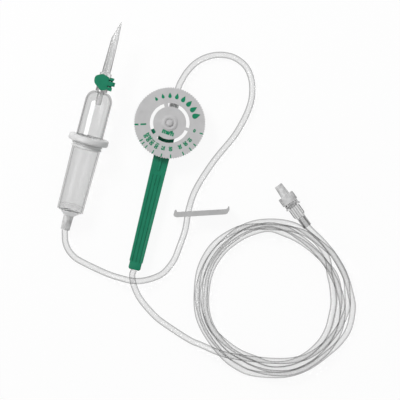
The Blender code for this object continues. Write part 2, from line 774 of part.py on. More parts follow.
def make_spike():
    """Bag spike in one moulding with its vent boss and hinge ears."""
    socket = COLLAR_RADIUS + GAP
    seat = DROP_TUBE_RADIUS + GAP
    profile = (
        (0.0, TIP_STATION),
        (SPIKE_END_RADIUS, TIP_STATION),
        (SPIKE_BEVEL_RADIUS, BEVEL_STATION),
        (SPIKE_ROOT_RADIUS, SHAFT_STATION),
        (HOUSING_RADIUS, RING_STATION + 0.5 * SPIKE_RING_LENGTH),
        (HOUSING_RADIUS, HOUSING_STATION),
        (socket, HOUSING_STATION),
        (socket, DROP_SEAT_STATION),
        (0.0, DROP_SEAT_STATION),
    )
    spike = turned("spike", profile, MEDIUM, CHAMBER, CLEAR_PLASTIC)
    boss = rod(
        "vent_boss",
        (0.0, EMBED, CAP_STATION),
        (0.0, VENT_BOSS_HEIGHT, CAP_STATION),
        VENT_BOSS_RADIUS,
        MEDIUM,
        CHAMBER,
    )
    recess = rod(
        "vent_recess",
        (0.0, VENT_BOSS_HEIGHT - VENT_RECESS_DEPTH, CAP_STATION),
        (0.0, VENT_BOSS_HEIGHT + OVERRUN, CAP_STATION),
        VENT_RECESS_RADIUS,
        MEDIUM,
        CHAMBER,
    )
    drop_seat = rod(
        "drop_seat",
        (0.0, 0.0, DROP_SEAT_STATION - OVERRUN),
        (0.0, 0.0, DROP_TOP_STATION),
        seat,
        MEDIUM,
        CHAMBER,
    )
    ears = []
    for number, station in enumerate(EAR_STATIONS):
        middle = CAP_STATION + station
        low, high = middle - EAR_THICKNESS / 2, middle + EAR_THICKNESS / 2
        ears.append(slab(f"hinge_ear_{number}", [ear_outline()], low, high, CHAMBER))
    bar = rod(
        "hinge_bar",
        (-HINGE_OFFSET, HINGE_HEIGHT, CAP_STATION - HINGE_HALF_LENGTH),
        (-HINGE_OFFSET, HINGE_HEIGHT, CAP_STATION + HINGE_HALF_LENGTH),
        HINGE_BAR_RADIUS,
        COARSE,
        CHAMBER,
    )
    fluid_lumen = rod(
        "fluid_lumen",
        (FLUID_LUMEN_OFFSET, 0.0, DROP_TOP_STATION - EMBED),
        (FLUID_LUMEN_OFFSET, 0.0, TIP_STATION + OVERRUN),
        FLUID_LUMEN_RADIUS,
        COARSE,
        CHAMBER,
    )
    air_lumen = rod(
        "air_lumen",
        (AIR_LUMEN_OFFSET, 0.0, CAP_STATION),
        (AIR_LUMEN_OFFSET, 0.0, TIP_STATION + OVERRUN),
        AIR_LUMEN_RADIUS,
        COARSE,
        CHAMBER,
    )
    air_port = rod(
        "air_port",
        (AIR_LUMEN_OFFSET, 0.0, CAP_STATION),
        (AIR_LUMEN_OFFSET, VENT_BOSS_HEIGHT - VENT_RECESS_DEPTH + EDGE, CAP_STATION),
        AIR_PORT_RADIUS,
        COARSE,
        CHAMBER,
    )
    near = SPIKE_BEVEL_RADIUS + FINE_EDGE
    far = -SPIKE_POINT_OFFSET
    wedge = (
        (near, BEVEL_STATION - EMBED),
        (2 * near, BEVEL_STATION - EMBED),
        (2 * near, TIP_STATION + 2 * OVERRUN),
        (far - EDGE, TIP_STATION + 2 * OVERRUN),
        (far, TIP_STATION),
    )
    bevel = slab("spike_bevel", [wedge], -2 * near, 2 * near, CHAMBER, upright=True)
    join(spike, boss, *ears, bar)
    cut(spike, recess, drop_seat, fluid_lumen, air_lumen, air_port, bevel)
    return spike


def make_air_filter():
    """Disc that lets air in and keeps dust out, in the vent's recess."""
    low = VENT_BOSS_HEIGHT - VENT_RECESS_DEPTH + GAP
    return rod(
        "air_filter",
        (0.0, low, CAP_STATION),
        (0.0, low + AIR_FILTER_THICKNESS, CAP_STATION),
        VENT_RECESS_RADIUS - GAP,
        MEDIUM,
        CHAMBER,
        FILTER_WHITE,
    )


def cap_outline():
    """Round lid drawn out into a thumb tab, seen from above and measured from the hinge."""
    lid = (HINGE_OFFSET, 0.0)
    tab = (HINGE_OFFSET + CAP_TAB_OFFSET, CAP_TAB_DROP)
    spread = degrees(atan2(hypot(CAP_TAB_OFFSET, CAP_TAB_DROP), CAP_RADIUS - CAP_TAB_RADIUS))
    lean = degrees(atan2(CAP_TAB_DROP, CAP_TAB_OFFSET))
    around_lid = arc(CAP_RADIUS, lean + spread, lean + 360.0 - spread, 22, lid)
    around_tab = arc(CAP_TAB_RADIUS, lean - spread, lean + spread, 9, tab)
    return around_lid + around_tab


def make_vent_cap():
    """Hinged vent cap: lid with thumb tab, skirt, and three snap-on knuckles."""
    top = VENT_BOSS_HEIGHT + 2 * GAP + CAP_THICKNESS - HINGE_HEIGHT
    under = top - CAP_THICKNESS
    cap = slab("vent_cap", [cap_outline()], under, top, VENT_HINGE, GREEN_PLASTIC, upright=True)
    outer = arc(CAP_RADIUS, 0.0, 345.0, 24, (HINGE_OFFSET, 0.0))
    inner = arc(CAP_RADIUS - CAP_SKIRT_WALL, 0.0, 345.0, 24, (HINGE_OFFSET, 0.0))
    skirt = slab(
        "cap_skirt",
        [outer, inner],
        under - CAP_SKIRT_DEPTH,
        under + EMBED,
        VENT_HINGE,
        upright=True,
    )
    finger_bands = (
        (-HINGE_HALF_LENGTH, EAR_STATIONS[0] - EAR_THICKNESS / 2 - GAP),
        (EAR_STATIONS[0] + EAR_THICKNESS / 2 + GAP, EAR_STATIONS[1] - EAR_THICKNESS / 2 - GAP),
        (EAR_STATIONS[1] + EAR_THICKNESS / 2 + GAP, HINGE_HALF_LENGTH),
    )
    notches, knuckles = [], []
    for number, station in enumerate(EAR_STATIONS):
        half = EAR_THICKNESS / 2 + GAP
        low = (-HINGE_OFFSET, -HINGE_HEIGHT, station - half)
        high = (HINGE_OFFSET - NOTCH_START, 2 * top, station + half)
        notches.append(block(f"cap_notch_{number}", low, high, VENT_HINGE))
    for number, (start, end) in enumerate(finger_bands):
        low = (-KNUCKLE_RADIUS, 0.0, start)
        high = (HINGE_OFFSET - VENT_BOSS_RADIUS - GAP, top - 2 * FLUSH, end)
        finger = block(f"cap_finger_{number}", low, high, VENT_HINGE)
        knuckle = rod(
            f"cap_knuckle_{number}",
            (0.0, 0.0, start + FLUSH),
            (0.0, 0.0, end - FLUSH),
            KNUCKLE_RADIUS,
            COARSE,
            VENT_HINGE,
        )
        knuckles += [finger, knuckle]
    bore = rod(
        "cap_bore",
        (0.0, 0.0, -2 * HINGE_HALF_LENGTH),
        (0.0, 0.0, 2 * HINGE_HALF_LENGTH),
        HINGE_BAR_RADIUS + RUNNING,
        COARSE,
        VENT_HINGE,
    )
    mouth = block(
        "cap_mouth",
        (-KNUCKLE_MOUTH / 2, -HINGE_HEIGHT, -2 * HINGE_HALF_LENGTH),
        (KNUCKLE_MOUTH / 2, 0.0, 2 * HINGE_HALF_LENGTH),
        VENT_HINGE,
    )
    join(cap, skirt, *knuckles)
    cut(cap, bore, mouth, *notches)
    return cap


def handle_outline():
    """Tapering handle, seen from above."""
    root = HANDLE_ROOT_WIDTH / 2
    tail = HANDLE_END_WIDTH / 2
    side = [
        (0.6 * HUB_RADIUS, root),
        (2 * HUB_RADIUS, root),
        (HANDLE_LENGTH - END_BLOCK_LENGTH, tail),
    ]
    return side + [(x, -y) for x, y in reversed(side)]


def end_block_outline():
    """Narrower block at the handle's end, seen from above."""
    half = END_BLOCK_WIDTH / 2
    side = [
        (HANDLE_LENGTH - 2 * END_BLOCK_LENGTH, half),
        (HANDLE_LENGTH - END_BLOCK_CORNER, half),
        (HANDLE_LENGTH, half - END_BLOCK_CORNER),
    ]
    return side + [(x, -y) for x, y in reversed(side)]


def make_regulator_base():
    """Green hub cup with the channel handle, pointer rib and the dial's stop lug."""
    profile = (
        (0.0, HANDLE_TOP),
        (HUB_RADIUS, HANDLE_TOP),
        (HUB_RADIUS, EDGE),
        (HUB_RADIUS - EDGE, 0.0),
        (0.0, 0.0),
    )
    base = turned("regulator_base", profile, FINE, HANDLE, GREEN_PLASTIC)
    handle = slab("handle_bar", [handle_outline()], FLUSH, HANDLE_TOP - FLUSH, HANDLE)
    end_block = slab("end_block", [end_block_outline()], 2 * FLUSH, HANDLE_TOP - 2 * FLUSH, HANDLE)
    soften(handle, HANDLE_ROUNDING)
    soften(end_block, HANDLE_ROUNDING)
    pocket = rod(
        "hub_pocket", (0, 0, HUB_FLOOR), (0, 0, 2 * HANDLE_TOP), HUB_RADIUS - HUB_WALL, FINE, HANDLE
    )
    pointer = block(
        "pointer_rib",
        (DIAL_HUB_RADIUS, -POINTER_WIDTH / 2, HANDLE_TOP - EMBED),
        (POINTER_END, POINTER_WIDTH / 2, HANDLE_TOP + POINTER_HEIGHT),
        HANDLE,
    )
    turn = STOP_LUG_SPAN[0] - HANDLE_HEADING
    span = STOP_LUG_SPAN[1] - STOP_LUG_SPAN[0]
    lug_shape = sector(HUB_RADIUS - 0.5 * HUB_WALL, STOP_LUG_OUTER, turn, turn + span, 5)
    lug = slab("stop_lug", [lug_shape], STOP_LUG_FOOT, STOP_LUG_HEIGHT, HANDLE)
    join(base, handle, end_block, pointer, lug)
    channel_half = TUBE_RADIUS + 2 * GAP
    channel_top = HANDLE_TOP - HANDLE_TOP_WALL
    outlet_half = NOZZLE_RADIUS + GAP
    channel = block(
        "tube_channel",
        (OUTLET_LENGTH, -channel_half, -OVERRUN),
        (HANDLE_LENGTH + OVERRUN, channel_half, channel_top),
        HANDLE,
    )
    outlet_pocket = block(
        "outlet_pocket",
        (FLOW_BODY_RADIUS - OVERRUN, -outlet_half, -OVERRUN),
        (OUTLET_LENGTH + GAP, outlet_half, OUTLET_HEIGHT + NOZZLE_RADIUS + GAP),
        HANDLE,
    )
    inlet_gate = block(
        "inlet_gate",
        (-HUB_RADIUS - OVERRUN, -outlet_half, INLET_HEIGHT - NOZZLE_RADIUS - GAP),
        (-FLOW_BODY_RADIUS + OVERRUN, outlet_half, HANDLE_TOP + OVERRUN),
        HANDLE,
    )
    grooves = []
    for row in (-1, 0, 1):
        low = (
            GROOVE_START,
            row * GROOVE_SPACING - GROOVE_WIDTH / 2,
            HANDLE_TOP - GROOVE_DEPTH,
        )
        high = (
            HANDLE_LENGTH - END_BLOCK_LENGTH,
            row * GROOVE_SPACING + GROOVE_WIDTH / 2,
            HANDLE_TOP + OVERRUN,
        )
        grooves.append(block(f"handle_groove_{row + 2}", low, high, HANDLE))
    cut(base, pocket, channel, outlet_pocket, inlet_gate, *grooves)
    return base


def make_flow_body():
    """Round flow body with an inlet and an outlet nozzle and its two ports."""
    radius = FLOW_BODY_RADIUS
    bottom = HUB_FLOOR + GAP
    profile = (
        (0.0, FLOW_BODY_TOP),
        (radius - EDGE, FLOW_BODY_TOP),
        (radius, FLOW_BODY_TOP - EDGE),
        (radius, bottom),
        (0.0, bottom),
    )
    body = turned("flow_body", profile, FINE, HANDLE, MILKY_PLASTIC)
    sides = (("inlet", -1, INLET_LENGTH, INLET_HEIGHT), ("outlet", 1, OUTLET_LENGTH, OUTLET_HEIGHT))
    nozzles, tools = [], []
    for name, side, length, height in sides:
        mouth = (side * length, 0.0, height)
        root = (side * (radius - EMBED), 0.0, height)
        seat = (side * (length - SOCKET_DEPTH), 0.0, height)
        beyond = (side * (length + OVERRUN), 0.0, height)
        inside = (side * PORT_CIRCLE, 0.0, height)
        above = (side * PORT_CIRCLE, 0.0, FLOW_BODY_TOP + OVERRUN)
        nozzles.append(rod(f"{name}_nozzle", root, mouth, NOZZLE_RADIUS, MEDIUM, HANDLE))
        socket = rod(f"{name}_socket", seat, beyond, TUBE_RADIUS + GAP, MEDIUM, HANDLE)
        through = (seat[0] + side * OVERRUN, 0.0, height)
        lumen = rod(f"{name}_lumen", inside, through, NOZZLE_BORE, COARSE, HANDLE)
        port = rod(f"{name}_port", inside, above, PORT_RADIUS, COARSE, HANDLE)
        tools += [socket, lumen, port]
    pin_hole = rod(
        "pin_hole",
        (0.0, 0.0, FLOW_BODY_TOP - PIN_DEPTH - GAP),
        (0.0, 0.0, FLOW_BODY_TOP + OVERRUN),
        PIN_RADIUS + GAP,
        COARSE,
        HANDLE,
    )
    join(body, *nozzles)
    cut(body, *tools, pin_hole)
    return body


def make_metering_seal():
    """Soft disc between the flow body and the dial's metering groove."""
    low = SEAL_BOTTOM
    high = SEAL_BOTTOM + SEAL_THICKNESS
    bore = PIN_RADIUS + GAP
    profile = ((SEAL_RADIUS, high), (SEAL_RADIUS, low), (bore, low), (bore, high))
    return turned("metering_seal", profile, FINE, HANDLE, SEAL_RUBBER, ring=True)


def make_pivot_pin():
    """Pin in the flow body that the dial turns on, with a snap head above the dial."""
    foot = FLOW_BODY_TOP - PIN_DEPTH
    head = DIAL_TOP + GAP
    top = head + PIN_HEAD_HEIGHT
    profile = (
        (0.0, top),
        (PIN_HEAD_RADIUS - 2 * EDGE, top - EDGE / 3),
        (PIN_HEAD_RADIUS, top - EMBED),
        (PIN_HEAD_RADIUS, head),
        (PIN_RADIUS, head),
        (PIN_RADIUS, foot + EDGE),
        (PIN_RADIUS - EDGE, foot),
        (0.0, foot),
    )
    return turned("pivot_pin", profile, MEDIUM, HANDLE, MILKY_PLASTIC)


def dial_outline():
    """Circle of fine pointed teeth."""
    points = []
    for tooth in range(DIAL_TEETH):
        start = 360.0 * tooth / DIAL_TEETH
        for radius, angle in ((DIAL_RADIUS - DIAL_TOOTH_DEPTH, 0.0), (DIAL_RADIUS, 0.5)):
            turn = radians(start + angle * 360.0 / DIAL_TEETH)
            points.append((radius * cos(turn), radius * sin(turn)))
    return points


def metering_groove():
    """Groove in the dial's hub that narrows from fully open to closed."""
    start, end = METERING_GROOVE_SPAN
    count = 10
    outer, inner = [], []
    for step in range(count):
        share = step / (count - 1)
        turn = radians(HANDLE_HEADING + start + share * (end - start))
        half = METERING_GROOVE_WIDTH * (0.15 + 0.35 * share)
        outer.append(((PORT_CIRCLE + half) * cos(turn), (PORT_CIRCLE + half) * sin(turn)))
        inner.append(((PORT_CIRCLE - half) * cos(turn), (PORT_CIRCLE - half) * sin(turn)))
    return outer + inner[::-1]


def make_dial():
    """Toothed dial with a rim, a hub, three curved slots and stop ribs below."""
    dial = slab("dial", [dial_outline()], DIAL_BOTTOM, DIAL_TOP, DIAL_AXIS, DIAL_PLASTIC)
    recess_radius = DIAL_RADIUS - DIAL_TOOTH_DEPTH - DIAL_RIM_WIDTH
    recess_profile = (
        (0.0, DIAL_HUB_BOTTOM),
        (DIAL_HUB_RADIUS, DIAL_HUB_BOTTOM),
        (DIAL_HUB_RADIUS, DIAL_PLATE_BOTTOM),
        (recess_radius, DIAL_PLATE_BOTTOM),
        (recess_radius, DIAL_BOTTOM - OVERRUN),
        (0.0, DIAL_BOTTOM - OVERRUN),
    )
    tools = [turned("dial_recess", recess_profile, FINE, DIAL_AXIS)]
    for number, (start, end) in enumerate(SLOT_SPANS):
        shape = sector(SLOT_INNER, SLOT_OUTER, start, end, 12)
        low, high = DIAL_PLATE_BOTTOM - OVERRUN, DIAL_TOP + OVERRUN
        tools.append(slab(f"dial_slot_{number}", [shape], low, high, DIAL_AXIS))
    groove_top = DIAL_HUB_BOTTOM + METERING_GROOVE_DEPTH
    groove_low = DIAL_HUB_BOTTOM - 0.5 * DIAL_HUB_STEP
    tools.append(slab("flow_groove", [metering_groove()], groove_low, groove_top, DIAL_AXIS))
    gate = radians(GATE_MARK_ANGLE)
    mark_x, mark_y = GATE_MARK_DISTANCE * cos(gate), GATE_MARK_DISTANCE * sin(gate)
    tools.append(
        rod(
            "gate_mark",
            (mark_x, mark_y, DIAL_TOP - GATE_MARK_DEPTH),
            (mark_x, mark_y, DIAL_TOP + OVERRUN),
            GATE_MARK_RADIUS,
            COARSE,
            DIAL_AXIS,
        )
    )
    cut(dial, *tools)
    middle = DIAL_TOP + DOME_HEIGHT
    dome_profile = (
        (DOME_INNER + EDGE, middle - EDGE / 3),
        ((DOME_INNER + DOME_OUTER) / 2, middle),
        (DOME_OUTER, DIAL_TOP + EDGE / 3),
        (DOME_OUTER - FINE_EDGE, DIAL_TOP - EMBED),
        (DOME_INNER + FINE_EDGE, DIAL_TOP - EMBED),
        (DOME_INNER, DIAL_TOP + EDGE / 3),
    )
    added = [turned("dial_dome", dome_profile, FINE, DIAL_AXIS, ring=True)]
    closed_side = STOP_LUG_SPAN[1] - DIAL_CLOSED_TURN + STOP_CLEARANCE
    open_side = STOP_LUG_SPAN[0] - DIAL_OPEN_TURN - STOP_CLEARANCE
    spans = ((closed_side, closed_side + STOP_RIB_SPAN), (open_side - STOP_RIB_SPAN, open_side))
    for number, (start, end) in enumerate(spans):
        shape = sector(STOP_RIB_INNER, STOP_RIB_OUTER, start, end, 3)
        low, high = DIAL_HUB_BOTTOM, DIAL_PLATE_BOTTOM + EMBED
        added.append(slab(f"dial_stop_{number}", [shape], low, high, DIAL_AXIS))
    join(dial, *added)
    bore = rod(
        "dial_bore",
        (0.0, 0.0, DIAL_BOTTOM),
        (0.0, 0.0, DIAL_TOP + OVERRUN),
        PIN_RADIUS + RUNNING,
        MEDIUM,
        DIAL_AXIS,
    )
    cut(dial, bore)
    return dial


def clamp_plan():
    """Clamp band with a curled lip at both ends, seen from above."""
    half = CLAMP_BAND / 2
    end = CLAMP_LENGTH
    tip = half + CLAMP_LIP
    return [
        (0.0, 0.0),
        (CLAMP_NOSE_STEP, -half + CLAMP_NOSE_DROP),
        (CLAMP_NOSE_RUN, -half),
        (end - CLAMP_TAIL_RUN, -half),
        (end - CLAMP_TAIL_STEP, -half + CLAMP_TAIL_RISE),
        (end - CLAMP_TAIL_EDGE, half - CLAMP_TAIL_SHOULDER),
        (end, tip - EDGE),
        (end - 2 * EDGE, tip),
        (end - CLAMP_TAIL_LIP_BEND, half + CLAMP_TAIL_RISE),
        (end - CLAMP_TAIL_LIP_START, half),
        (CLAMP_NOSE_LIP_START, half),
        (CLAMP_NOSE_LIP_TOP, half + CLAMP_NOSE_LIP),
        (CLAMP_NOSE_LIP_END, half + CLAMP_NOSE_LIP),
    ]


def keyhole_outline():
    """Round hole that tapers into the pinch slot, seen square to the plate."""
    height = CLAMP_WIDTH / 2
    half = CLAMP_SLOT_WIDTH / 2
    hole = arc(CLAMP_HOLE_RADIUS, 35.0, 325.0, 17, (CLAMP_HOLE_PLACE, height))
    slot_end = arc(half, -90.0, 90.0, 5, (CLAMP_SLOT_END - half, height))
    return hole + [(CLAMP_TAPER_END, height - half)] + slot_end + [(CLAMP_TAPER_END, height + half)]


def make_slide_clamp():
    """Slide clamp: thin web in a stiff rim, curled lips and a keyhole for the tube."""
    clamp = slab("slide_clamp", [clamp_plan()], 0.0, CLAMP_WIDTH, CLAMP, CLAMP_PLASTIC)
    depth = CLAMP_BAND
    tools = [slab("keyhole", [keyhole_outline()], -depth, depth, CLAMP, upright=True)]
    for number, side in enumerate((-1, 1)):
        near, far = sorted((side * CLAMP_WEB / 2, side * depth))
        low = (CLAMP_END_RIM, near, CLAMP_RIM)
        high = (CLAMP_LENGTH - CLAMP_END_RIM, far, CLAMP_WIDTH - CLAMP_RIM)
        tools.append(block(f"clamp_pocket_{number}", low, high, CLAMP))
    cut(clamp, *tools)
    return clamp


def fin(name, axis, outline):
    """Flat fin of the luer connector in the plane of its axis and X or Y."""
    half = LUER_FIN_THICKNESS / 2
    item = slab(name, [outline], -half, half, LUER, upright=True)
    if axis == "Y":
        item.rotation_euler = (radians(90.0), 0.0, radians(90.0))
    return item


def make_luer_connector():
    """Male luer connector: tube socket, fins, collar seat and tapered tip."""
    core = LUER_CORE_RADIUS
    seat = RETAINER_RADIUS
    start = COLLAR_FLOOR_END + GAP
    profile = (
        (LUER_LUMEN, LUER_TIP_LENGTH),
        (LUER_TIP_RADIUS - FINE_EDGE, LUER_TIP_LENGTH),
        (LUER_TIP_RADIUS, LUER_TIP_LENGTH - FINE_EDGE),
        (LUER_TIP_ROOT_RADIUS, start + RETAINER_LENGTH),
        (seat - EDGE, start + RETAINER_LENGTH),
        (seat, start + EDGE),
        (seat, start),
        (core, start),
        (core, EDGE),
        (core - FINE_EDGE, 0.0),
        (TUBE_RADIUS + GAP, 0.0),
        (TUBE_RADIUS + GAP, SOCKET_DEPTH),
        (LUER_LUMEN, SOCKET_DEPTH + TUBE_RADIUS - LUER_LUMEN),
    )
    connector = turned("luer_connector", profile, MEDIUM, LUER, CLEAR_PLASTIC, ring=True)
    inner = LUER_CORE_RADIUS - FINE_EDGE
    half_outline = [
        (inner, LUER_FIN_SETBACK),
        (LUER_NARROW_FIN, LUER_FIN_SETBACK),
        (LUER_NARROW_FIN, LUER_SHOULDER_STATION),
        (LUER_WIDE_FIN, LUER_FIN_STATION),
        (LUER_WIDE_FIN, LUER_FIN_END),
        (inner, LUER_FIN_END),
    ]
    mirrored = [(-x, z) for x, z in half_outline]
    shapes = (("X", half_outline), ("X", mirrored), ("Y", half_outline), ("Y", mirrored))
    fins = [fin(f"luer_fin_{n}", axis, outline) for n, (axis, outline) in enumerate(shapes)]
    join(connector, *fins)
    return connector


def make_lock_collar():
    """Turning lock collar with a flange and two wings behind the cap."""
    core_bore = LUER_CORE_RADIUS + RUNNING
    flange_end = COLLAR_START + COLLAR_FLANGE_LENGTH
    profile = (
        (COLLAR_BODY_RADIUS - FINE_EDGE, COLLAR_END),
        (COLLAR_BODY_RADIUS, COLLAR_END - FINE_EDGE),
        (COLLAR_BODY_RADIUS, flange_end),
        (COLLAR_FLANGE_RADIUS, flange_end),
        (COLLAR_FLANGE_RADIUS, COLLAR_START),
        (core_bore, COLLAR_START),
        (core_bore, COLLAR_FLOOR_END),
        (COLLAR_BORE_RADIUS, COLLAR_FLOOR_END),
        (COLLAR_BORE_RADIUS, COLLAR_END - THREAD_START),
        (COLLAR_BORE_RADIUS - THREAD_DEPTH, COLLAR_END - THREAD_START + THREAD_DEPTH),
        (COLLAR_BORE_RADIUS - THREAD_DEPTH, COLLAR_END - THREAD_END - THREAD_DEPTH),
        (COLLAR_BORE_RADIUS, COLLAR_END - THREAD_END),
        (COLLAR_BORE_RADIUS, COLLAR_END),
    )
    collar = turned("lock_collar", profile, MEDIUM, LUER, CLEAR_PLASTIC, ring=True)
    half = COLLAR_WING_WIDTH / 2
    corner = (COLLAR_WING_RADIUS**2 - half**2) ** 0.5
    wings = []
    for number, side in enumerate((-1, 1)):
        near, far = sorted((side * (COLLAR_FLANGE_RADIUS - EMBED), side * corner))
        low = (near, -half, COLLAR_START + FLUSH)
        high = (far, half, flange_end - FLUSH)
        wings.append(block(f"collar_wing_{number}", low, high, LUER))
    join(collar, *wings)
    return collar


def make_luer_cap():
    """Vented cap: cover over the collar and a nose over the tip."""
    cover = CAP_COVER_RADIUS
    inside = CAP_COVER_RADIUS - CAP_COVER_WALL
    nose_bore_root = CAP_NOSE_ROOT_RADIUS - CAP_NOSE_WALL
    nose_bore_end = CAP_NOSE_END_RADIUS - CAP_NOSE_WALL
    seat = CAP_NOSE_END - 2 * CAP_NOSE_WALL
    profile = (
        (CAP_VENT_RADIUS, CAP_NOSE_END),
        (CAP_NOSE_END_RADIUS - FINE_EDGE, CAP_NOSE_END),
        (CAP_NOSE_END_RADIUS, CAP_NOSE_END - FINE_EDGE),
        (CAP_NOSE_ROOT_RADIUS, CAP_NOSE_START),
        (cover - EDGE, CAP_NOSE_START),
        (cover, CAP_NOSE_START - EDGE),
        (cover, CAP_COVER_START),
        (inside, CAP_COVER_START),
        (inside, CAP_PLATE_START),
        (nose_bore_root, CAP_PLATE_START),
        (nose_bore_end, seat),
        (CAP_VENT_RADIUS, seat),
    )
    return turned("luer_cap", profile, MEDIUM, LUER, MILKY_PLASTIC, ring=True)


def make_cap_membrane():
    """Air-permeable membrane inside the end of the cap's nose."""
    high = CAP_NOSE_END - 2 * CAP_NOSE_WALL - GAP
    low = high - MEMBRANE_THICKNESS
    radius = CAP_NOSE_END_RADIUS - CAP_NOSE_WALL - GAP
    profile = ((0.0, high), (radius, high), (radius, low), (0.0, low))
    return turned("cap_membrane", profile, MEDIUM, LUER, FILTER_WHITE)


def make_coil():
    """Outer shape of the coiled tubing."""
    soft = COIL_ROUNDING
    profile = (
        (COIL_OUTER - soft, COIL_HEIGHT),
        (COIL_OUTER, COIL_HEIGHT - soft),
        (COIL_OUTER, soft),
        (COIL_OUTER - soft, 0.0),
        (COIL_INNER + soft, 0.0),
        (COIL_INNER, soft),
        (COIL_INNER, COIL_HEIGHT - soft),
        (COIL_INNER + soft, COIL_HEIGHT),
    )
    return turned("tube_coil", profile, COIL_FACETS, COIL, TUBE_VINYL, ring=True)


def in_world(frame, point):
    """World place of a point given in a frame."""
    bpy.context.view_layer.update()
    return tuple(frame.matrix_world @ Vector(point))


def make_tubing():
    """The four lengths of tube: to the regulator, through its handle, to the coil, to the luer."""
    inlet_seat = -(INLET_LENGTH - SOCKET_DEPTH + GAP)
    upper_route = [
        in_world(CHAMBER, (0.0, 0.0, SOCKET_DEPTH - GAP)),
        in_world(CHAMBER, (0.0, 0.0, 0.0)),
        *from_mm(CHAMBER_TO_REGULATOR),
        in_world(HANDLE, (-INLET_LENGTH, 0.0, INLET_HEIGHT)),
        in_world(HANDLE, (inlet_seat - 2 * GAP, 0.0, INLET_HEIGHT)),
    ]
    tubing("tube_upper", smooth_route(upper_route, TUBE_POINT_SPACING), TUBE_VINYL)
    held = [
        in_world(HANDLE, (OUTLET_LENGTH - SOCKET_DEPTH + GAP, 0.0, OUTLET_HEIGHT)),
        in_world(HANDLE, (HANDLE_LENGTH - GAP, 0.0, OUTLET_HEIGHT)),
    ]
    tubing("channel_tube", held, TUBE_VINYL)
    lead_start = in_world(HANDLE, (HANDLE_LENGTH + GAP, 0.0, OUTLET_HEIGHT))
    lead = [lead_start, *from_mm(HANDLE_TO_COIL)]
    tubing("tube_lead", smooth_route(lead, TUBE_POINT_SPACING), TUBE_VINYL)
    tail = [
        *from_mm(COIL_TO_LUER),
        in_world(LUER, (0.0, 0.0, 0.0)),
        in_world(LUER, (0.0, 0.0, SOCKET_DEPTH - GAP)),
    ]
    tubing("tube_tail", smooth_route(tail, TUBE_POINT_SPACING / 2), TUBE_VINYL)


make_outlet_cap()
make_fluid_filter()
make_lower_chamber()
make_flange_ring()
make_upper_chamber()
make_drop_tube()
make_spike()
make_air_filter()
make_vent_cap()
make_regulator_base()
make_flow_body()
make_metering_seal()
make_pivot_pin()
make_dial()
make_slide_clamp()
make_luer_connector()
make_lock_collar()
make_luer_cap()
make_cap_membrane()
make_coil()
make_tubing()
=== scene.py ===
"""Looks of a gravity infusion set that lies on a white table and is seen from straight above."""

import json
from math import atan2, cos, degrees, pi, radians, sin

import bmesh
import bpy
import numpy as np
from mathutils import Matrix, Vector

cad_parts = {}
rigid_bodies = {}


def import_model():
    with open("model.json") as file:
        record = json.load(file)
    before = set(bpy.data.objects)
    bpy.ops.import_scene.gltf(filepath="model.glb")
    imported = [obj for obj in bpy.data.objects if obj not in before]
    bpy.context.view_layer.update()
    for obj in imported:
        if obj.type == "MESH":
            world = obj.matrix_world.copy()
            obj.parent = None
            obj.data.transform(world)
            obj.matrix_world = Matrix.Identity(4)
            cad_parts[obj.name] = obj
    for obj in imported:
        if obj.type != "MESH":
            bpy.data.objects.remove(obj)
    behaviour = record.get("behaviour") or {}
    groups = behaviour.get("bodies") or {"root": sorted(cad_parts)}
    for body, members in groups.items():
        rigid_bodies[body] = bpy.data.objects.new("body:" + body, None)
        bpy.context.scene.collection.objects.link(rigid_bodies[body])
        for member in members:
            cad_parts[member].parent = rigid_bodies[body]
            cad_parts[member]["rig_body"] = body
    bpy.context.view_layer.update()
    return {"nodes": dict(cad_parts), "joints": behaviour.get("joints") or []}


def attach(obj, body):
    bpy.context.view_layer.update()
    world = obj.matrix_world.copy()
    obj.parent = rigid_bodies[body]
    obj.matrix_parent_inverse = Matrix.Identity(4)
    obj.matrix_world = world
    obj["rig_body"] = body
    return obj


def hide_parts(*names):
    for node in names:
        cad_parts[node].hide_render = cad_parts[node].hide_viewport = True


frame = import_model()

MM = 0.001

# The photograph: 400 pixels wide, 0.65 mm a pixel, its middle over this point of the table
PHOTO_WIDTH = 400 * 0.65 * MM
PHOTO_MIDDLE = (19.6 * MM, -49.8 * MM)
CAMERA_HEIGHT = 2.4
SENSOR = 36.0

# Tubing
TUBE_RADIUS = 2.0
TUBE_BORE = 1.25
TUBE_FACETS = 24
TUBE_STEP = 1.4
UNDERSIDE_TILT = -0.1
SOCKET_DEPTH = 7.0
GAP = 0.3

# Stations along the drip chamber in millimetres, from the outlet stub's end
CHAMBER_FOOT = (-67.9, -69.0)
CHAMBER_HEADING = 75.1
RIM = 12.9
MOUTH_TOP = 58.1
FLANGE = 58.4
BELL = 62.1
SHOULDER = 85.5
NECK = 92.5
COLLAR_TOP = 95.1
DROP_TOP = 97.1
SLEEVE_FOOT = 8.55
SLEEVE_HEAD = 9.25
FLANGE_RADIUS = 13.25
FLANGE_ROUNDING = 0.9
BELL_RADIUS = 8.8
BELL_WALL = 1.2
CONE_FOOT = 9.7
SPIGOT_RADIUS = 8.0

# Flow regulator and luer end in millimetres
HANDLE_HEADING = 256.3
HANDLE_LENGTH = 97.8
INLET_LENGTH = 18.5
INLET_HEIGHT = 4.6
OUTLET_LENGTH = 15.6
OUTLET_HEIGHT = 3.4
DIAL_TOP = 13.0
LUER_PLACE = (89.4, -67.0, 5.85)
LUER_HEADING = 125.7
FIN_STATIONS = (9.1, 15.3)
FIN_REACH = 3.9
FIN_ROOT = 2.8
FIN_RIM = 0.4
FIN_HALF = 0.25
PANEL_HALF = 0.2

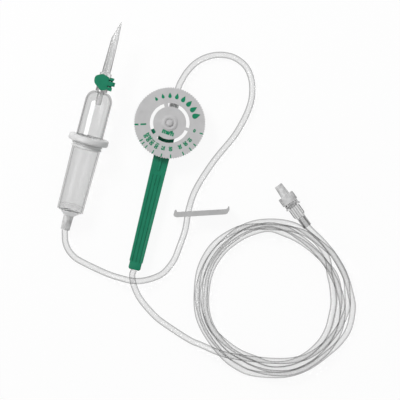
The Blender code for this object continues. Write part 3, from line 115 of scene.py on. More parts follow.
# Routes of the free tubing in millimetres, as the solids have them
CHAMBER_TO_REGULATOR = (
    (-68.0, -72.7, 6.2),
    (-67.9, -76.0, 5.2),
    (-67.1, -79.4, 4.2),
    (-65.5, -82.7, 3.3),
    (-62.8, -86.0, 2.6),
    (-59.3, -88.7, 2.2),
    (-49.7, -93.6, 2.1),
    (-39.7, -98.0, 3.2),
    (-31.7, -100.5, 5.6),
    (-23.9, -102.2, 6.9),
    (-16.8, -102.0, 5.6),
    (-9.0, -99.8, 3.0),
    (-3.4, -96.5, 2.1),
    (2.7, -88.7, 2.1),
    (6.4, -79.7, 2.6),
    (9.9, -69.6, 4.2),
    (11.3, -61.5, 5.5),
    (11.8, -58.4, 5.6),
    (12.5, -55.0, 5.4),
    (15.2, -46.5, 4.0),
    (20.3, -36.8, 2.5),
    (29.4, -23.4, 2.1),
    (40.9, -9.5, 2.1),
    (46.3, -1.0, 2.1),
    (50.3, 7.0, 2.1),
    (52.8, 14.4, 2.1),
    (53.6, 21.9, 2.1),
    (52.8, 29.3, 2.1),
    (50.1, 35.8, 2.1),
    (45.8, 40.3, 2.1),
    (39.8, 43.5, 2.1),
    (31.9, 44.5, 2.1),
    (23.9, 43.0, 2.1),
    (17.0, 39.3, 2.4),
    (11.5, 33.8, 3.3),
    (8.0, 28.3, 4.2),
    (5.8, 23.8, 4.6),
)
HANDLE_TO_COIL = (
    (-24.3, -97.0, 3.0),
    (-24.3, -100.2, 2.2),
    (-23.7, -104.1, 2.1),
    (-22.3, -108.0, 2.1),
    (-20.3, -112.3, 2.1),
    (-17.6, -116.2, 2.1),
    (-14.3, -120.2, 2.1),
    (-7.0, -127.5, 2.1),
    (6.6, -136.8, 2.3),
    (14.5, -141.5, 3.9),
)
OVER_THE_COIL = (
    (20.1, -143.7, 6.4),
    (28.4, -147.3, 9.6),
    (34.6, -149.5, 10.2),
    (40.9, -151.0, 10.0),
    (47.1, -152.0, 9.0),
    (53.3, -152.8, 7.8),
)
COIL_TO_LUER = (
    (99.3, -77.8, 5.9),
    (93.2, -71.5, 5.9),
)

# The coil, turn by turn: at each angle round its middle, each turn's radius and height
COIL_MIDDLE = (65.3, -110.6)
COIL_LAYOUT = (
    (-90, (43.6, 6.5), (50.9, 5.9), (49.0, 2.1), (46.8, 5.9), (52.2, 2.1)),
    (-75, (45.2, 6.5), (52.9, 5.9), (49.8, 2.1), (47.6, 5.5), (52.6, 2.1)),
    (-60, (47.2, 8.0), (52.9, 5.9), (49.6, 2.1), (47.1, 4.0), (53.0, 2.1)),
    (-45, (48.2, 8.0), (52.4, 5.5), (48.2, 2.1), (46.1, 2.1), (53.3, 2.1)),
    (-33, (49.0, 6.0), (51.0, 3.0), (47.8, 2.1), (44.5, 2.1), (55.0, 2.1)),
    (-23, (49.6, 6.0), (49.2, 2.1), (47.2, 2.1), (43.0, 2.1), (55.6, 2.1)),
    (-10, (50.2, 6.0), (46.8, 4.5), (45.9, 2.1), (42.1, 2.1), (54.3, 2.1)),
    (0, (49.7, 6.0), (44.9, 5.9), (44.6, 2.1), (41.3, 2.1), (52.0, 2.1)),
    (13, (49.8, 6.0), (42.6, 5.9), (43.0, 2.1), (41.4, 2.1), (49.8, 2.1)),
    (30, (48.1, 8.0), (40.9, 5.9), (41.4, 2.1), (42.8, 2.1), (47.9, 4.0)),
    (40, (46.6, 9.5), (40.0, 5.9), (40.7, 2.1), (44.4, 2.1)),
    (50, (45.6, 9.5), (39.6, 5.9), (40.5, 2.1), (45.6, 2.1)),
    (62, (45.7, 9.5), (40.0, 5.9), (41.0, 2.1), (45.4, 3.0)),
    (75, (46.0, 6.0), (41.2, 4.0), (42.6, 4.0), (44.4, 7.0)),
    (90, (46.2, 3.0), (43.0, 2.1), (44.0, 5.9), (43.3, 9.5)),
    (105, (46.6, 2.1), (42.4, 2.1), (43.6, 5.9), (44.8, 7.0)),
    (120, (46.2, 2.1), (41.6, 2.1), (42.8, 5.9), (46.8, 5.9)),
    (140, (45.2, 2.1), (41.3, 2.1), (42.9, 5.9), (48.3, 5.5)),
    (160, (46.2, 2.1), (41.5, 2.1), (42.8, 5.9), (48.1, 5.5)),
    (180, (47.4, 2.1), (41.8, 2.1), (42.5, 5.9), (47.6, 5.9)),
    (197, (47.3, 2.1), (43.1, 2.1), (43.8, 5.9), (48.7, 5.5)),
    (213, (47.5, 2.1), (44.2, 2.1), (44.2, 5.9), (48.8, 5.5)),
    (232, (47.9, 2.1), (45.6, 2.1), (43.3, 5.9), (49.8, 4.0)),
    (245, (47.7, 2.1), (45.9, 2.1), (43.8, 5.9), (51.4, 2.1)),
    (256, (48.9, 4.0), (46.8, 2.1), (44.3, 5.9), (52.5, 2.1)),
)

# How the coil's strands settle: shares and steps of each round
STRAND_STEP = 3.0
STRAND_SPACING = 3.9
STRAND_NEIGHBOURS = 3
SETTLING_ROUNDS = 300
SIDEWAYS_GIVE = 0.35
PUSH_SHARE = 0.3
PULL_SHARE = 0.02
SINK_STEP = 0.03
SMOOTHING = 0.25
LEAST_DISTANCE = 0.05
FLOOR_CLEARANCE = 0.05


def lying(place, heading, rise=0.0):
    """Frame whose Z runs along a lying piece and whose Y points up; the place is in metres."""
    turn = Matrix.Rotation(radians(heading + 90.0), 4, "Z")
    return Matrix.Translation(place) @ turn @ Matrix.Rotation(radians(90.0 - rise), 4, "X")


FLANGE_CONTACT = FLANGE + FLANGE_ROUNDING / 2
CHAMBER_RISE = atan2(FLANGE_RADIUS - SLEEVE_FOOT, FLANGE_CONTACT - RIM)
CHAMBER_FOOT_HEIGHT = SLEEVE_FOOT * cos(CHAMBER_RISE) - RIM * sin(CHAMBER_RISE)
CHAMBER = lying(
    Vector((*CHAMBER_FOOT, CHAMBER_FOOT_HEIGHT)) * MM, CHAMBER_HEADING, degrees(CHAMBER_RISE)
)
HANDLE = Matrix.Rotation(radians(HANDLE_HEADING), 4, "Z")
LUER = lying(Vector(LUER_PLACE) * MM, LUER_HEADING)


# Camera, table and light


def make_camera():
    """Camera straight above the table, with the photograph's field of view."""
    data = bpy.data.cameras.new("camera")
    data.sensor_width = SENSOR
    data.lens = SENSOR * CAMERA_HEIGHT / PHOTO_WIDTH
    data.clip_end = 20.0
    camera = bpy.data.objects.new("camera", data)
    camera.location = (*PHOTO_MIDDLE, CAMERA_HEIGHT)
    bpy.context.scene.collection.objects.link(camera)
    bpy.context.scene.camera = camera


class Nodes:
    """Short way to add and link the nodes of a material or world."""

    def __init__(self, owner):
        owner.use_nodes = True
        self.tree = owner.node_tree
        self.tree.nodes.clear()

    def add(self, kind, **values):
        """Node of a kind, with input values by name, or settings where no input has the name."""
        node = self.tree.nodes.new(kind)
        for name, value in values.items():
            if name in node.inputs:
                node.inputs[name].default_value = value
            else:
                setattr(node, name, value)
        return node

    def link(self, source, target):
        """Join an output socket to an input socket."""
        self.tree.links.new(source, target)

    def maths(self, operation, first, second):
        """Arithmetic on sockets or numbers."""
        node = self.tree.nodes.new("ShaderNodeMath")
        node.operation = operation
        for place, value in enumerate((first, second)):
            if isinstance(value, (int, float)):
                node.inputs[place].default_value = value
            else:
                self.link(value, node.inputs[place])
        return node.outputs[0]


def level_ramp(nodes, source, ramp_stops):
    """Grey level that a socket's value picks from stops of (position, level)."""
    ramp = nodes.add("ShaderNodeValToRGB")
    stops = ramp.color_ramp.elements
    while len(stops) < len(ramp_stops):
        stops.new(0.5)
    for stop, (position, level) in zip(stops, ramp_stops):
        stop.position = position
        stop.color = (level, level, level, 1.0)
    nodes.link(source, ramp.inputs["Fac"])
    return ramp.outputs["Color"]


TABLE_DROP = 0.05
LAMP_TARGET = (0.0, -0.03, 0.0)
FLOOR_LIT_SHARE = 0.08
WORLD_LEVEL = 0.52
SKY_STOPS = ((0.06, 1.0), (0.22, 0.3), (0.6, 0.3), (0.95, 0.45))


def make_table():
    """White table top that looks white to the camera and in glass, and keeps a soft shadow."""
    mesh = bpy.data.meshes.new("table_top")
    bm = bmesh.new()
    bmesh.ops.create_grid(bm, x_segments=1, y_segments=1, size=6.0)
    bm.to_mesh(mesh)
    bm.free()
    table = bpy.data.objects.new("table_top", mesh)
    table.location = (0.0, 0.0, -TABLE_DROP * MM)
    bpy.context.scene.collection.objects.link(table)
    material = bpy.data.materials.new("table_white")
    nodes = Nodes(material)
    output = nodes.add("ShaderNodeOutputMaterial")
    lit = nodes.add("ShaderNodeBsdfDiffuse", Color=(0.94, 0.94, 0.94, 1.0))
    glow = nodes.add("ShaderNodeEmission", Color=(1.0, 1.0, 1.0, 1.0), Strength=1.0)
    mix = nodes.add("ShaderNodeMixShader")
    path = nodes.add("ShaderNodeLightPath")
    seen = nodes.maths("MAXIMUM", path.outputs["Is Glossy Ray"], path.outputs["Is Transmission Ray"])
    seen = nodes.maths("MAXIMUM", path.outputs["Is Camera Ray"], seen)
    share = nodes.maths("MULTIPLY", seen, 1.0 - FLOOR_LIT_SHARE)
    nodes.link(share, mix.inputs["Fac"])
    nodes.link(lit.outputs[0], mix.inputs[1])
    nodes.link(glow.outputs[0], mix.inputs[2])
    nodes.link(mix.outputs[0], output.inputs["Surface"])
    mesh.materials.append(material)


def make_world():
    """Even room light, seen as white; gloss and glass find a dimmer band half way up."""
    world = bpy.data.worlds.new("room")
    bpy.context.scene.world = world
    nodes = Nodes(world)
    output = nodes.add("ShaderNodeOutputWorld")
    place = nodes.add("ShaderNodeTexCoord")
    split = nodes.add("ShaderNodeSeparateXYZ")
    nodes.link(place.outputs["Generated"], split.inputs[0])
    sky = level_ramp(nodes, split.outputs["Z"], SKY_STOPS)
    path = nodes.add("ShaderNodeLightPath")
    seen = nodes.maths("MAXIMUM", path.outputs["Is Glossy Ray"], path.outputs["Is Transmission Ray"])
    plain = nodes.add("ShaderNodeBackground", Strength=WORLD_LEVEL)
    banded = nodes.add("ShaderNodeBackground", Strength=1.0)
    white = nodes.add("ShaderNodeBackground", Strength=1.0)
    for background in (plain, white):
        background.inputs["Color"].default_value = (1.0, 1.0, 1.0, 1.0)
    nodes.link(sky, banded.inputs["Color"])
    first = nodes.add("ShaderNodeMixShader")
    nodes.link(seen, first.inputs["Fac"])
    nodes.link(plain.outputs[0], first.inputs[1])
    nodes.link(banded.outputs[0], first.inputs[2])
    second = nodes.add("ShaderNodeMixShader")
    nodes.link(path.outputs["Is Camera Ray"], second.inputs["Fac"])
    nodes.link(first.outputs[0], second.inputs[1])
    nodes.link(white.outputs[0], second.inputs[2])
    nodes.link(second.outputs[0], output.inputs["Surface"])


def make_lamp(name, place, size, power, glossy=True, diffuse=True):
    """Soft oblong lamp that points at the set; its size is (side to side, up and down)."""
    data = bpy.data.lights.new(name, "AREA")
    data.shape = "RECTANGLE"
    data.size, data.size_y = size
    data.energy = power
    lamp = bpy.data.objects.new(name, data)
    lamp.location = place
    aim = Vector(LAMP_TARGET) - Vector(place)
    lamp.rotation_mode = "QUATERNION"
    lamp.rotation_quaternion = aim.to_track_quat("-Z", "Y")
    lamp.visible_glossy = glossy
    lamp.visible_diffuse = diffuse
    bpy.context.scene.collection.objects.link(lamp)


def make_studio():
    """Camera, table, room light and three soft lamps, in the plain Standard view."""
    make_camera()
    make_table()
    make_world()
    make_lamp("key_lamp", (-0.5, 0.62, 0.8), (0.35, 0.35), 7.0, glossy=False)
    make_lamp("streak_lamp", (-0.75, -0.02, 0.87), (0.6, 0.75), 7.5, diffuse=False)
    make_lamp("small_streak_lamp", (0.69, -0.4, 0.83), (0.14, 0.7), 0.3, diffuse=False)
    bpy.context.scene.view_settings.view_transform = "Standard"
    bpy.context.scene.cycles.max_bounces = 32
    bpy.context.scene.cycles.transmission_bounces = 32
    bpy.context.scene.cycles.transparent_max_bounces = 16


# Materials

COAT_IOR = 1.7
COAT_FADE = (0.3, 0.5)
CLOUD_SCALE = 300.0
CLOUD_LEVELS = (0.5, 1.5)
MOTTLE_SCALE = 220.0
GRAIN_SCALE = 2600.0
GRAIN_DEPTH = 0.02

# Levels of the clear and frosted plastics, from a face seen square on to one seen edge on
VINYL_LEVELS = ((0.0, 0.85), (0.16, 0.83), (0.3, 0.6), (0.45, 0.43), (1.0, 0.34))
BORE_LEVELS = ((0.0, 0.98), (0.4, 0.95), (0.7, 0.86), (1.0, 0.8))
CLEAR_LEVELS = ((0.0, 0.81), (0.3, 0.77), (0.42, 0.62), (0.54, 0.3), (1.0, 0.15))
RIGID_LEVELS = ((0.0, 0.82), (0.08, 0.79), (0.25, 0.62), (0.5, 0.44), (1.0, 0.28))
INSIDE_LEVELS = ((0.0, 0.845), (0.35, 0.835), (0.6, 0.79), (1.0, 0.7))
SLEEVE_LEVELS = ((0.0, 0.82), (0.45, 0.79), (0.58, 0.68), (0.72, 0.48), (1.0, 0.3))
MESH_LEVELS = ((0.0, 0.97), (0.5, 0.95), (1.0, 0.9))
FROST_LEVELS = ((0.0, 0.61), (0.5, 0.59), (0.8, 0.48), (1.0, 0.32))
CAP_LEVELS = ((0.0, 0.65), (0.35, 0.6), (0.65, 0.45), (1.0, 0.28))


def principled(name, colour, roughness, **sockets):
    """Principled material with its nodes; returns the material, its node helper and its shader."""
    material = bpy.data.materials.new(name)
    nodes = Nodes(material)
    output = nodes.add("ShaderNodeOutputMaterial")
    shader = nodes.add("ShaderNodeBsdfPrincipled")
    shader.inputs["Base Color"].default_value = (*colour, 1.0)
    shader.inputs["Roughness"].default_value = roughness
    for socket, value in sockets.items():
        shader.inputs[socket.replace("_", " ")].default_value = value
    nodes.link(shader.outputs[0], output.inputs["Surface"])
    return material, nodes, shader


def add_grain(nodes, shader, strength):
    """Fine uneven surface from noise."""
    place = nodes.add("ShaderNodeTexCoord")
    noise = nodes.add("ShaderNodeTexNoise", Scale=GRAIN_SCALE, Detail=2.0)
    bump = nodes.add("ShaderNodeBump", Strength=strength, Distance=GRAIN_DEPTH * MM)
    nodes.link(place.outputs["Object"], noise.inputs["Vector"])
    nodes.link(noise.outputs["Fac"], bump.inputs["Height"])
    nodes.link(bump.outputs["Normal"], shader.inputs["Normal"])


def add_mottle(nodes, shader, colour, other):
    """Slight change of colour over the surface, from noise."""
    place = nodes.add("ShaderNodeTexCoord")
    noise = nodes.add("ShaderNodeTexNoise", Scale=MOTTLE_SCALE, Detail=3.0)
    ramp = nodes.add("ShaderNodeValToRGB")
    ramp.color_ramp.elements[0].position = 0.35
    ramp.color_ramp.elements[1].position = 0.65
    ramp.color_ramp.elements[0].color = (*colour, 1.0)
    ramp.color_ramp.elements[1].color = (*other, 1.0)
    nodes.link(place.outputs["Object"], noise.inputs["Vector"])
    nodes.link(noise.outputs["Fac"], ramp.inputs["Fac"])
    nodes.link(ramp.outputs["Color"], shader.inputs["Base Color"])


def facing_ramp(nodes, ramp_stops):
    """Level that changes from a face seen square on, at 0, to one seen edge on, at 1."""
    facing = nodes.add("ShaderNodeLayerWeight", Blend=0.5)
    return level_ramp(nodes, facing.outputs["Facing"], ramp_stops)


def clear_material(name, ramp_stops, roughness, ior, coat=1.0, coat_roughness=0.08):
    """Clear or milky plastic that light passes through, darker where it is seen edge on."""
    material, nodes, shader = principled(
        name,
        (1.0, 1.0, 1.0),
        roughness,
        Transmission_Weight=1.0,
        IOR=ior,
        Coat_IOR=COAT_IOR,
        Coat_Roughness=coat_roughness,
    )
    nodes.link(facing_ramp(nodes, ramp_stops), shader.inputs["Base Color"])
    gloss = facing_ramp(nodes, ((0.0, coat), (COAT_FADE[0], coat), (COAT_FADE[1], 0.0)))
    nodes.link(gloss, shader.inputs["Coat Weight"])
    return material


def solid_material(name, colour, other, roughness, grain=0.25, **sockets):
    """Moulded plastic with a slight mottle and a fine grain."""
    material, nodes, shader = principled(name, colour, roughness, **sockets)
    add_mottle(nodes, shader, colour, other)
    add_grain(nodes, shader, grain)
    return material


def frosted_material(name, ramp_stops):
    """Milky plastic with a cloudy look, darker where it is seen edge on."""
    material, nodes, shader = principled(name, (1.0, 1.0, 1.0), 0.35, Specular_IOR_Level=0.3)
    place = nodes.add("ShaderNodeTexCoord")
    cloud = nodes.add("ShaderNodeTexNoise", Scale=CLOUD_SCALE, Detail=2.0)
    nodes.link(place.outputs["Object"], cloud.inputs["Vector"])
    level = nodes.add("ShaderNodeMapRange")
    level.inputs["To Min"].default_value = CLOUD_LEVELS[0]
    level.inputs["To Max"].default_value = CLOUD_LEVELS[1]
    nodes.link(cloud.outputs["Fac"], level.inputs["Value"])
    product = nodes.add("ShaderNodeVectorMath")
    product.operation = "MULTIPLY"
    nodes.link(facing_ramp(nodes, ramp_stops), product.inputs[0])
    nodes.link(level.outputs["Result"], product.inputs[1])
    nodes.link(product.outputs[0], shader.inputs["Base Color"])
    return material


VINYL = clear_material("tube_vinyl", VINYL_LEVELS, 0.04, 1.02, coat=0.5, coat_roughness=0.25)
UNDERSIDE = clear_material("tube_underside", VINYL_LEVELS, 0.04, 1.02, coat=0.0)
BORE = clear_material("tube_bore", BORE_LEVELS, 0.04, 1.02, coat=0.0)
CLEAR = clear_material("clear_plastic", CLEAR_LEVELS, 0.02, 1.08)
RIGID = clear_material("clear_rigid", RIGID_LEVELS, 0.02, 1.05, coat=0.25)
INSIDE = clear_material("clear_inside", INSIDE_LEVELS, 0.02, 1.04, coat=0.12)
SLEEVE = clear_material("milky_sleeve", SLEEVE_LEVELS, 0.12, 1.03, coat=0.15, coat_roughness=0.3)
MESH = clear_material("filter_mesh", MESH_LEVELS, 0.2, 1.02, coat=0.0)
# Near-black painted shade for the rims of the luer connector's clear fins, standing for the dark edge
# that refraction gives them.
FIN_RIM_PAINTED_SHADE = solid_material("fin_rim_painted_shade", (0.15, 0.15, 0.15), (0.12, 0.12, 0.12), 0.5, 0.1)
PALE = solid_material("milky_bore", (0.93, 0.93, 0.93), (0.91, 0.91, 0.91), 0.6, 0.1)
MILKY = solid_material("milky_plastic", (0.70, 0.70, 0.70), (0.66, 0.66, 0.66), 0.38, 0.2)
FROST = frosted_material("frosted_plastic", FROST_LEVELS)
CAP = frosted_material("milky_cap", CAP_LEVELS)
GREEN = solid_material(
    "green_plastic", (0.010, 0.225, 0.122), (0.008, 0.205, 0.110), 0.45, Specular_IOR_Level=0.2
)
DIAL_GREY = solid_material("dial_plastic", (0.56, 0.555, 0.56), (0.53, 0.527, 0.53), 0.5)
CLAMP_GREY = solid_material("clamp_plastic", (0.50, 0.50, 0.50), (0.46, 0.46, 0.46), 0.38)
SILICONE = solid_material("seal_rubber", (0.72, 0.72, 0.69), (0.66, 0.66, 0.64), 0.6)
FILTER = solid_material("filter_white", (0.82, 0.82, 0.82), (0.76, 0.76, 0.76), 0.9, 0.8)
# Dark green painted shade for the vent cap's hinge slits: it darkens the spike's clear ears and the
# boxes in the slits, standing for the shade cast by the green walls round them.
SLIT_PAINTED_SHADE = solid_material(
    "slit_painted_shade", (0.006, 0.035, 0.02), (0.005, 0.03, 0.018), 0.9, 0.1, Specular_IOR_Level=0.0
)
INK = solid_material(
    "green_ink", (0.008, 0.25, 0.12), (0.006, 0.22, 0.105), 0.5, Specular_IOR_Level=0.2
)


# Shapes


def smooth_curve(route, step):
    """Evenly spaced points on a smooth curve through the route's points."""
    points = [Vector(p) for p in route]
    ends = [2 * points[0] - points[1], *points, 2 * points[-1] - points[-2]]
    dense = []
    for before, a, b, after in zip(ends, ends[1:], ends[2:], ends[3:]):
        for t in np.linspace(0.0, 1.0, 12, endpoint=False):
            dense.append(
                0.5
                * (
                    2 * a
                    + (b - before) * t
                    + (2 * before - 5 * a + 4 * b - after) * t**2
                    + (3 * a - before - 3 * b + after) * t**3
                )
            )
    dense = np.array([*dense, points[-1]])
    reach = np.concatenate(([0.0], np.cumsum(np.linalg.norm(np.diff(dense, axis=0), axis=1))))
    even = np.linspace(0.0, reach[-1], max(2, round(reach[-1] / step) + 1))
    return np.stack([np.interp(even, reach, dense[:, axis]) for axis in range(3)], axis=1)


def new_piece(name, bm, body, material, sharp=40.0):
    """Object from a bmesh that rides on a body, shaded smooth but for sharp edges."""
    mesh = bpy.data.meshes.new(name)
    bmesh.ops.recalc_face_normals(bm, faces=bm.faces)
    bm.to_mesh(mesh)
    bm.free()
    mesh.materials.append(material)
    mesh.shade_smooth()
    mesh.set_sharp_from_angle(angle=radians(sharp))
    piece = bpy.data.objects.new(name, mesh)
    bpy.context.scene.collection.objects.link(piece)
    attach(piece, body)
    return piece


def hose(name, points, body, material, radius=TUBE_RADIUS, bore=TUBE_BORE):
    """Hollow tube along points in millimetres, with a wall, two open ends and a dull underside."""
    points = [Vector(p) * MM for p in points]
    bm = bmesh.new()
    side = None
    rings = []
    turns = [2 * pi * k / TUBE_FACETS for k in range(TUBE_FACETS)]
    for number, point in enumerate(points):
        after = points[min(number + 1, len(points) - 1)]
        before = points[max(number - 1, 0)]
        forward = (after - before).normalized()
        if side is None:
            side = forward.cross(Vector((0.0, 0.0, 1.0))).normalized()
        side = (side - forward * side.dot(forward)).normalized()
        other = forward.cross(side)
        both = []
        for size in (radius * MM, bore * MM):
            both.append([bm.verts.new(point + size * (cos(t) * side + sin(t) * other)) for t in turns])
        rings.append(both)
    for (outer, inner), (next_outer, next_inner) in zip(rings, rings[1:]):
        for k in range(TUBE_FACETS):
            j = (k + 1) % TUBE_FACETS
            bm.faces.new((outer[k], outer[j], next_outer[j], next_outer[k]))
            bm.faces.new((inner[j], inner[k], next_inner[k], next_inner[j])).material_index = 1
    for outer, inner in (rings[0], rings[-1]):
        for k in range(TUBE_FACETS):
            j = (k + 1) % TUBE_FACETS
            bm.faces.new((outer[k], outer[j], inner[j], inner[k]))
    piece = new_piece(name, bm, body, material)
    piece.data.materials.append(BORE)
    piece.data.materials.append(UNDERSIDE)
    for face in piece.data.polygons:
        if face.material_index == 0 and face.normal.z < UNDERSIDE_TILT:
            face.material_index = 2
    return piece


ON_AXIS = 0.001


def softened(profile, radius):
    """Closed profile with its corners rounded, apart from those on the axis."""
    points = [Vector(p) for p in profile]
    result = []
    for number, corner in enumerate(points):
        before = points[number - 1] - corner
        after = points[(number + 1) % len(points)] - corner
        if corner.x < ON_AXIS:
            result.append(tuple(corner))
            continue
        start = corner + before.normalized() * min(radius, 0.45 * before.length)
        end = corner + after.normalized() * min(radius, 0.45 * after.length)
        for t in (0.0, 0.33, 0.67, 1.0):
            place = start * (1 - t) ** 2 + corner * 2 * t * (1 - t) + end * t**2
            result.append(tuple(place))
    return result


def lathe(
    name, profile, place, body, material, slot, facets=96, rounding=0.15, sharp=50.0, inside=None
):
    """Closed turned piece about local Z, from a closed profile in millimetres.

    Faces that look at the axis, and flat ends, take the inside material where one is given.
    """
    profile = softened(profile, rounding)
    bm = bmesh.new()
    turns = [2 * pi * k / facets for k in range(facets)]
    rings = []
    for radius, height in profile:
        if radius < ON_AXIS:
            rings.append([bm.verts.new((0.0, 0.0, height * MM))])
        else:
            rings.append(
                [bm.verts.new(Vector((radius * cos(t), radius * sin(t), height)) * MM) for t in turns]
            )
    for ring, after in zip(rings, rings[1:] + rings[:1]):
        for k in range(facets):
            j = (k + 1) % facets
            near = (ring[k % len(ring)], ring[j % len(ring)])
            far = (after[j % len(after)], after[k % len(after)])
            corners = list(dict.fromkeys((*near, *far)))
            if len(corners) > 2:
                bm.faces.new(corners)
    if inside:
        bmesh.ops.recalc_face_normals(bm, faces=bm.faces)
        for face in bm.faces:
            middle = face.calc_center_median()
            heights = [corner.co.z for corner in face.verts]
            inward = middle.x * face.normal.x + middle.y * face.normal.y < -0.2 * middle.xy.length
            if inward or max(heights) - min(heights) < 0.01 * MM:
                face.material_index = 1
    bmesh.ops.transform(bm, matrix=place, verts=bm.verts)
    piece = new_piece(name, bm, body, material, sharp)
    if inside:
        piece.data.materials.append(inside)
    return piece


WELD_DISTANCE = 0.002
FLAT_ANGLE = 0.4


def finished(node, material, edge=0.0, sharp=35.0):
    """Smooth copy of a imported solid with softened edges, which stands for it."""
    source = frame["nodes"][node]
    body = source["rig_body"]
    bm = bmesh.new()
    bm.from_mesh(source.data)
    bmesh.ops.remove_doubles(bm, verts=bm.verts, dist=WELD_DISTANCE * MM)
    bmesh.ops.dissolve_limit(bm, angle_limit=radians(FLAT_ANGLE), verts=bm.verts, edges=bm.edges)
    piece = new_piece(node + "_fine", bm, body, material, sharp)
    if edge:
        bevel = piece.modifiers.new("edges", "BEVEL")
        bevel.width = edge * MM
        bevel.segments = 2
        bevel.limit_method = "ANGLE"
        bevel.angle_limit = radians(sharp)
        bevel.use_clamp_overlap = True
        bevel.harden_normals = True
    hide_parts(node)
    return piece


# Cords


def coil_route():
    """Points round the coil, turn after turn, before the strands settle."""
    points = []
    for turn in range(len(COIL_LAYOUT[0]) - 1):
        for angle, *turns in COIL_LAYOUT:
            if turn < len(turns):
                radius, height = turns[turn]
                x = COIL_MIDDLE[0] + radius * cos(radians(angle))
                y = COIL_MIDDLE[1] + radius * sin(radians(angle))
                points.append((x, y, height))
    return points


def settle(points, free_from):
    """Let the coil's strands push each other apart and sink until they rest."""
    target = points.copy()
    index = np.arange(len(points))
    apart = np.abs(index[:, None] - index[None, :]) > STRAND_NEIGHBOURS
    free = ((index >= free_from) & (index < len(points) - STRAND_NEIGHBOURS)).astype(float)[:, None]
    hold = np.array((SIDEWAYS_GIVE, SIDEWAYS_GIVE, 1.0))
    for _ in range(SETTLING_ROUNDS):
        gap = points[:, None, :] - points[None, :, :]
        distance = np.linalg.norm(gap, axis=2)
        near = apart & (distance < STRAND_SPACING)
        push = np.where(near, STRAND_SPACING - distance, 0.0) / np.maximum(distance, LEAST_DISTANCE)
        move = PUSH_SHARE * hold * (gap * push[:, :, None]).sum(axis=1)
        move[:, :2] += PULL_SHARE * (target - points)[:, :2]
        move[:, 2] -= SINK_STEP
        shift = points + move * free - target
        shift[1:-1] += SMOOTHING * (shift[:-2] + shift[2:] - 2 * shift[1:-1]) * free[1:-1]
        points = target + shift
        points[:, 2] = np.maximum(points[:, 2], TUBE_RADIUS + FLOOR_CLEARANCE)
    return points


def make_upper_cord():
    """Tube from the chamber's outlet stub to the regulator's inlet nozzle."""
    start = CHAMBER @ Vector((0.0, 0.0, (SOCKET_DEPTH - GAP) * MM)) / MM
    mouth = CHAMBER @ Vector((0.0, 0.0, 0.0)) / MM
    nozzle = HANDLE @ Vector((-INLET_LENGTH, 0.0, INLET_HEIGHT))
    seat = HANDLE @ Vector((-(INLET_LENGTH - SOCKET_DEPTH + 3 * GAP), 0.0, INLET_HEIGHT))
    points = smooth_curve([start, mouth, *CHAMBER_TO_REGULATOR, nozzle, seat], TUBE_STEP)
    cord = hose("upper_tube", points, "main", VINYL)
    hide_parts("tube_upper")


def make_lower_cord():
    """Tube from the handle's end, over and round the coil, to the luer connector."""
    exit_point = HANDLE @ Vector((HANDLE_LENGTH + GAP, 0.0, OUTLET_HEIGHT))
    mouth = LUER @ Vector((0.0, 0.0, 0.0)) / MM
    seat = LUER @ Vector((0.0, 0.0, (SOCKET_DEPTH - GAP) * MM)) / MM
    lead = [exit_point, *HANDLE_TO_COIL]
    route = [*lead, *OVER_THE_COIL, *coil_route(), *COIL_TO_LUER, mouth, seat]
    rough = smooth_curve(route, STRAND_STEP)
    settled = settle(rough, len(smooth_curve(lead, STRAND_STEP)))
    points = smooth_curve(settled, TUBE_STEP)
    cord = hose("lower_tube", points, "main", VINYL)
    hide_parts("tube_lead", "tube_coil", "tube_tail")


def make_channel_tube():
    """Tube held in the handle's channel."""
    start = HANDLE @ Vector((OUTLET_LENGTH - SOCKET_DEPTH + GAP, 0.0, OUTLET_HEIGHT))
    end = HANDLE @ Vector((HANDLE_LENGTH - GAP, 0.0, OUTLET_HEIGHT))
    piece = hose("held_tube", smooth_curve([start, end], 4.0), "main", VINYL)
    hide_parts("channel_tube")


# Drip chamber

# Vent cap in millimetres, measured from its hinge towards its lid
VENT_JOINT = next(joint for joint in frame["joints"] if joint["name"] == "vent_cap_hinge")
VENT_HINGE = Vector(VENT_JOINT["pos_m"])
VENT_AXIS = Vector(VENT_JOINT["axis"]).normalized()
VENT_SLITS = (-1.45, 2.3)
SLIT_HALF = 0.56
SLIT_OPEN = 0.33
SLIT_END = 2.0
# Dark box of painted shade in each hinge slit: where it starts across, its floor and its top
SLIT_SHADE_BOX = (1.2, 0.8, 1.25)
# Reach from the hinge's axis within which the spike's faces take the painted shade
PAINTED_SHADE_REACH = 2.3
SLIT_ROOT = 3.3
ROOT_FLOOR = 1.3
CAP_TOP = 1.95
LID_MIDDLE = 5.0
TAB_REACH = 7.1
TAB_TUCK = 1.0
TAB_LIFT = 1.8
TAB_SPREAD = 0.22
KNUCKLE_SPAN = (-2.6, -0.6)
KNUCKLE_HEIGHTS = (0.1, 1.5)
FINGER_END = -0.9


def bar(bm, origin, axes, low, high):
    """Box between two corners in millimetres, along three axes from a place."""
    corners = []
    for x in (low[0], high[0]):
        for y in (low[1], high[1]):
            for z in (low[2], high[2]):
                reach = x * axes[0] + y * axes[1] + z * axes[2]
                corners.append(bm.verts.new(origin + reach * MM))
    sides = ((0, 1, 3, 2), (4, 6, 7, 5), (0, 4, 5, 1), (2, 3, 7, 6), (0, 2, 6, 4), (1, 5, 7, 3))
    for side in sides:
        bm.faces.new([corners[k] for k in side])


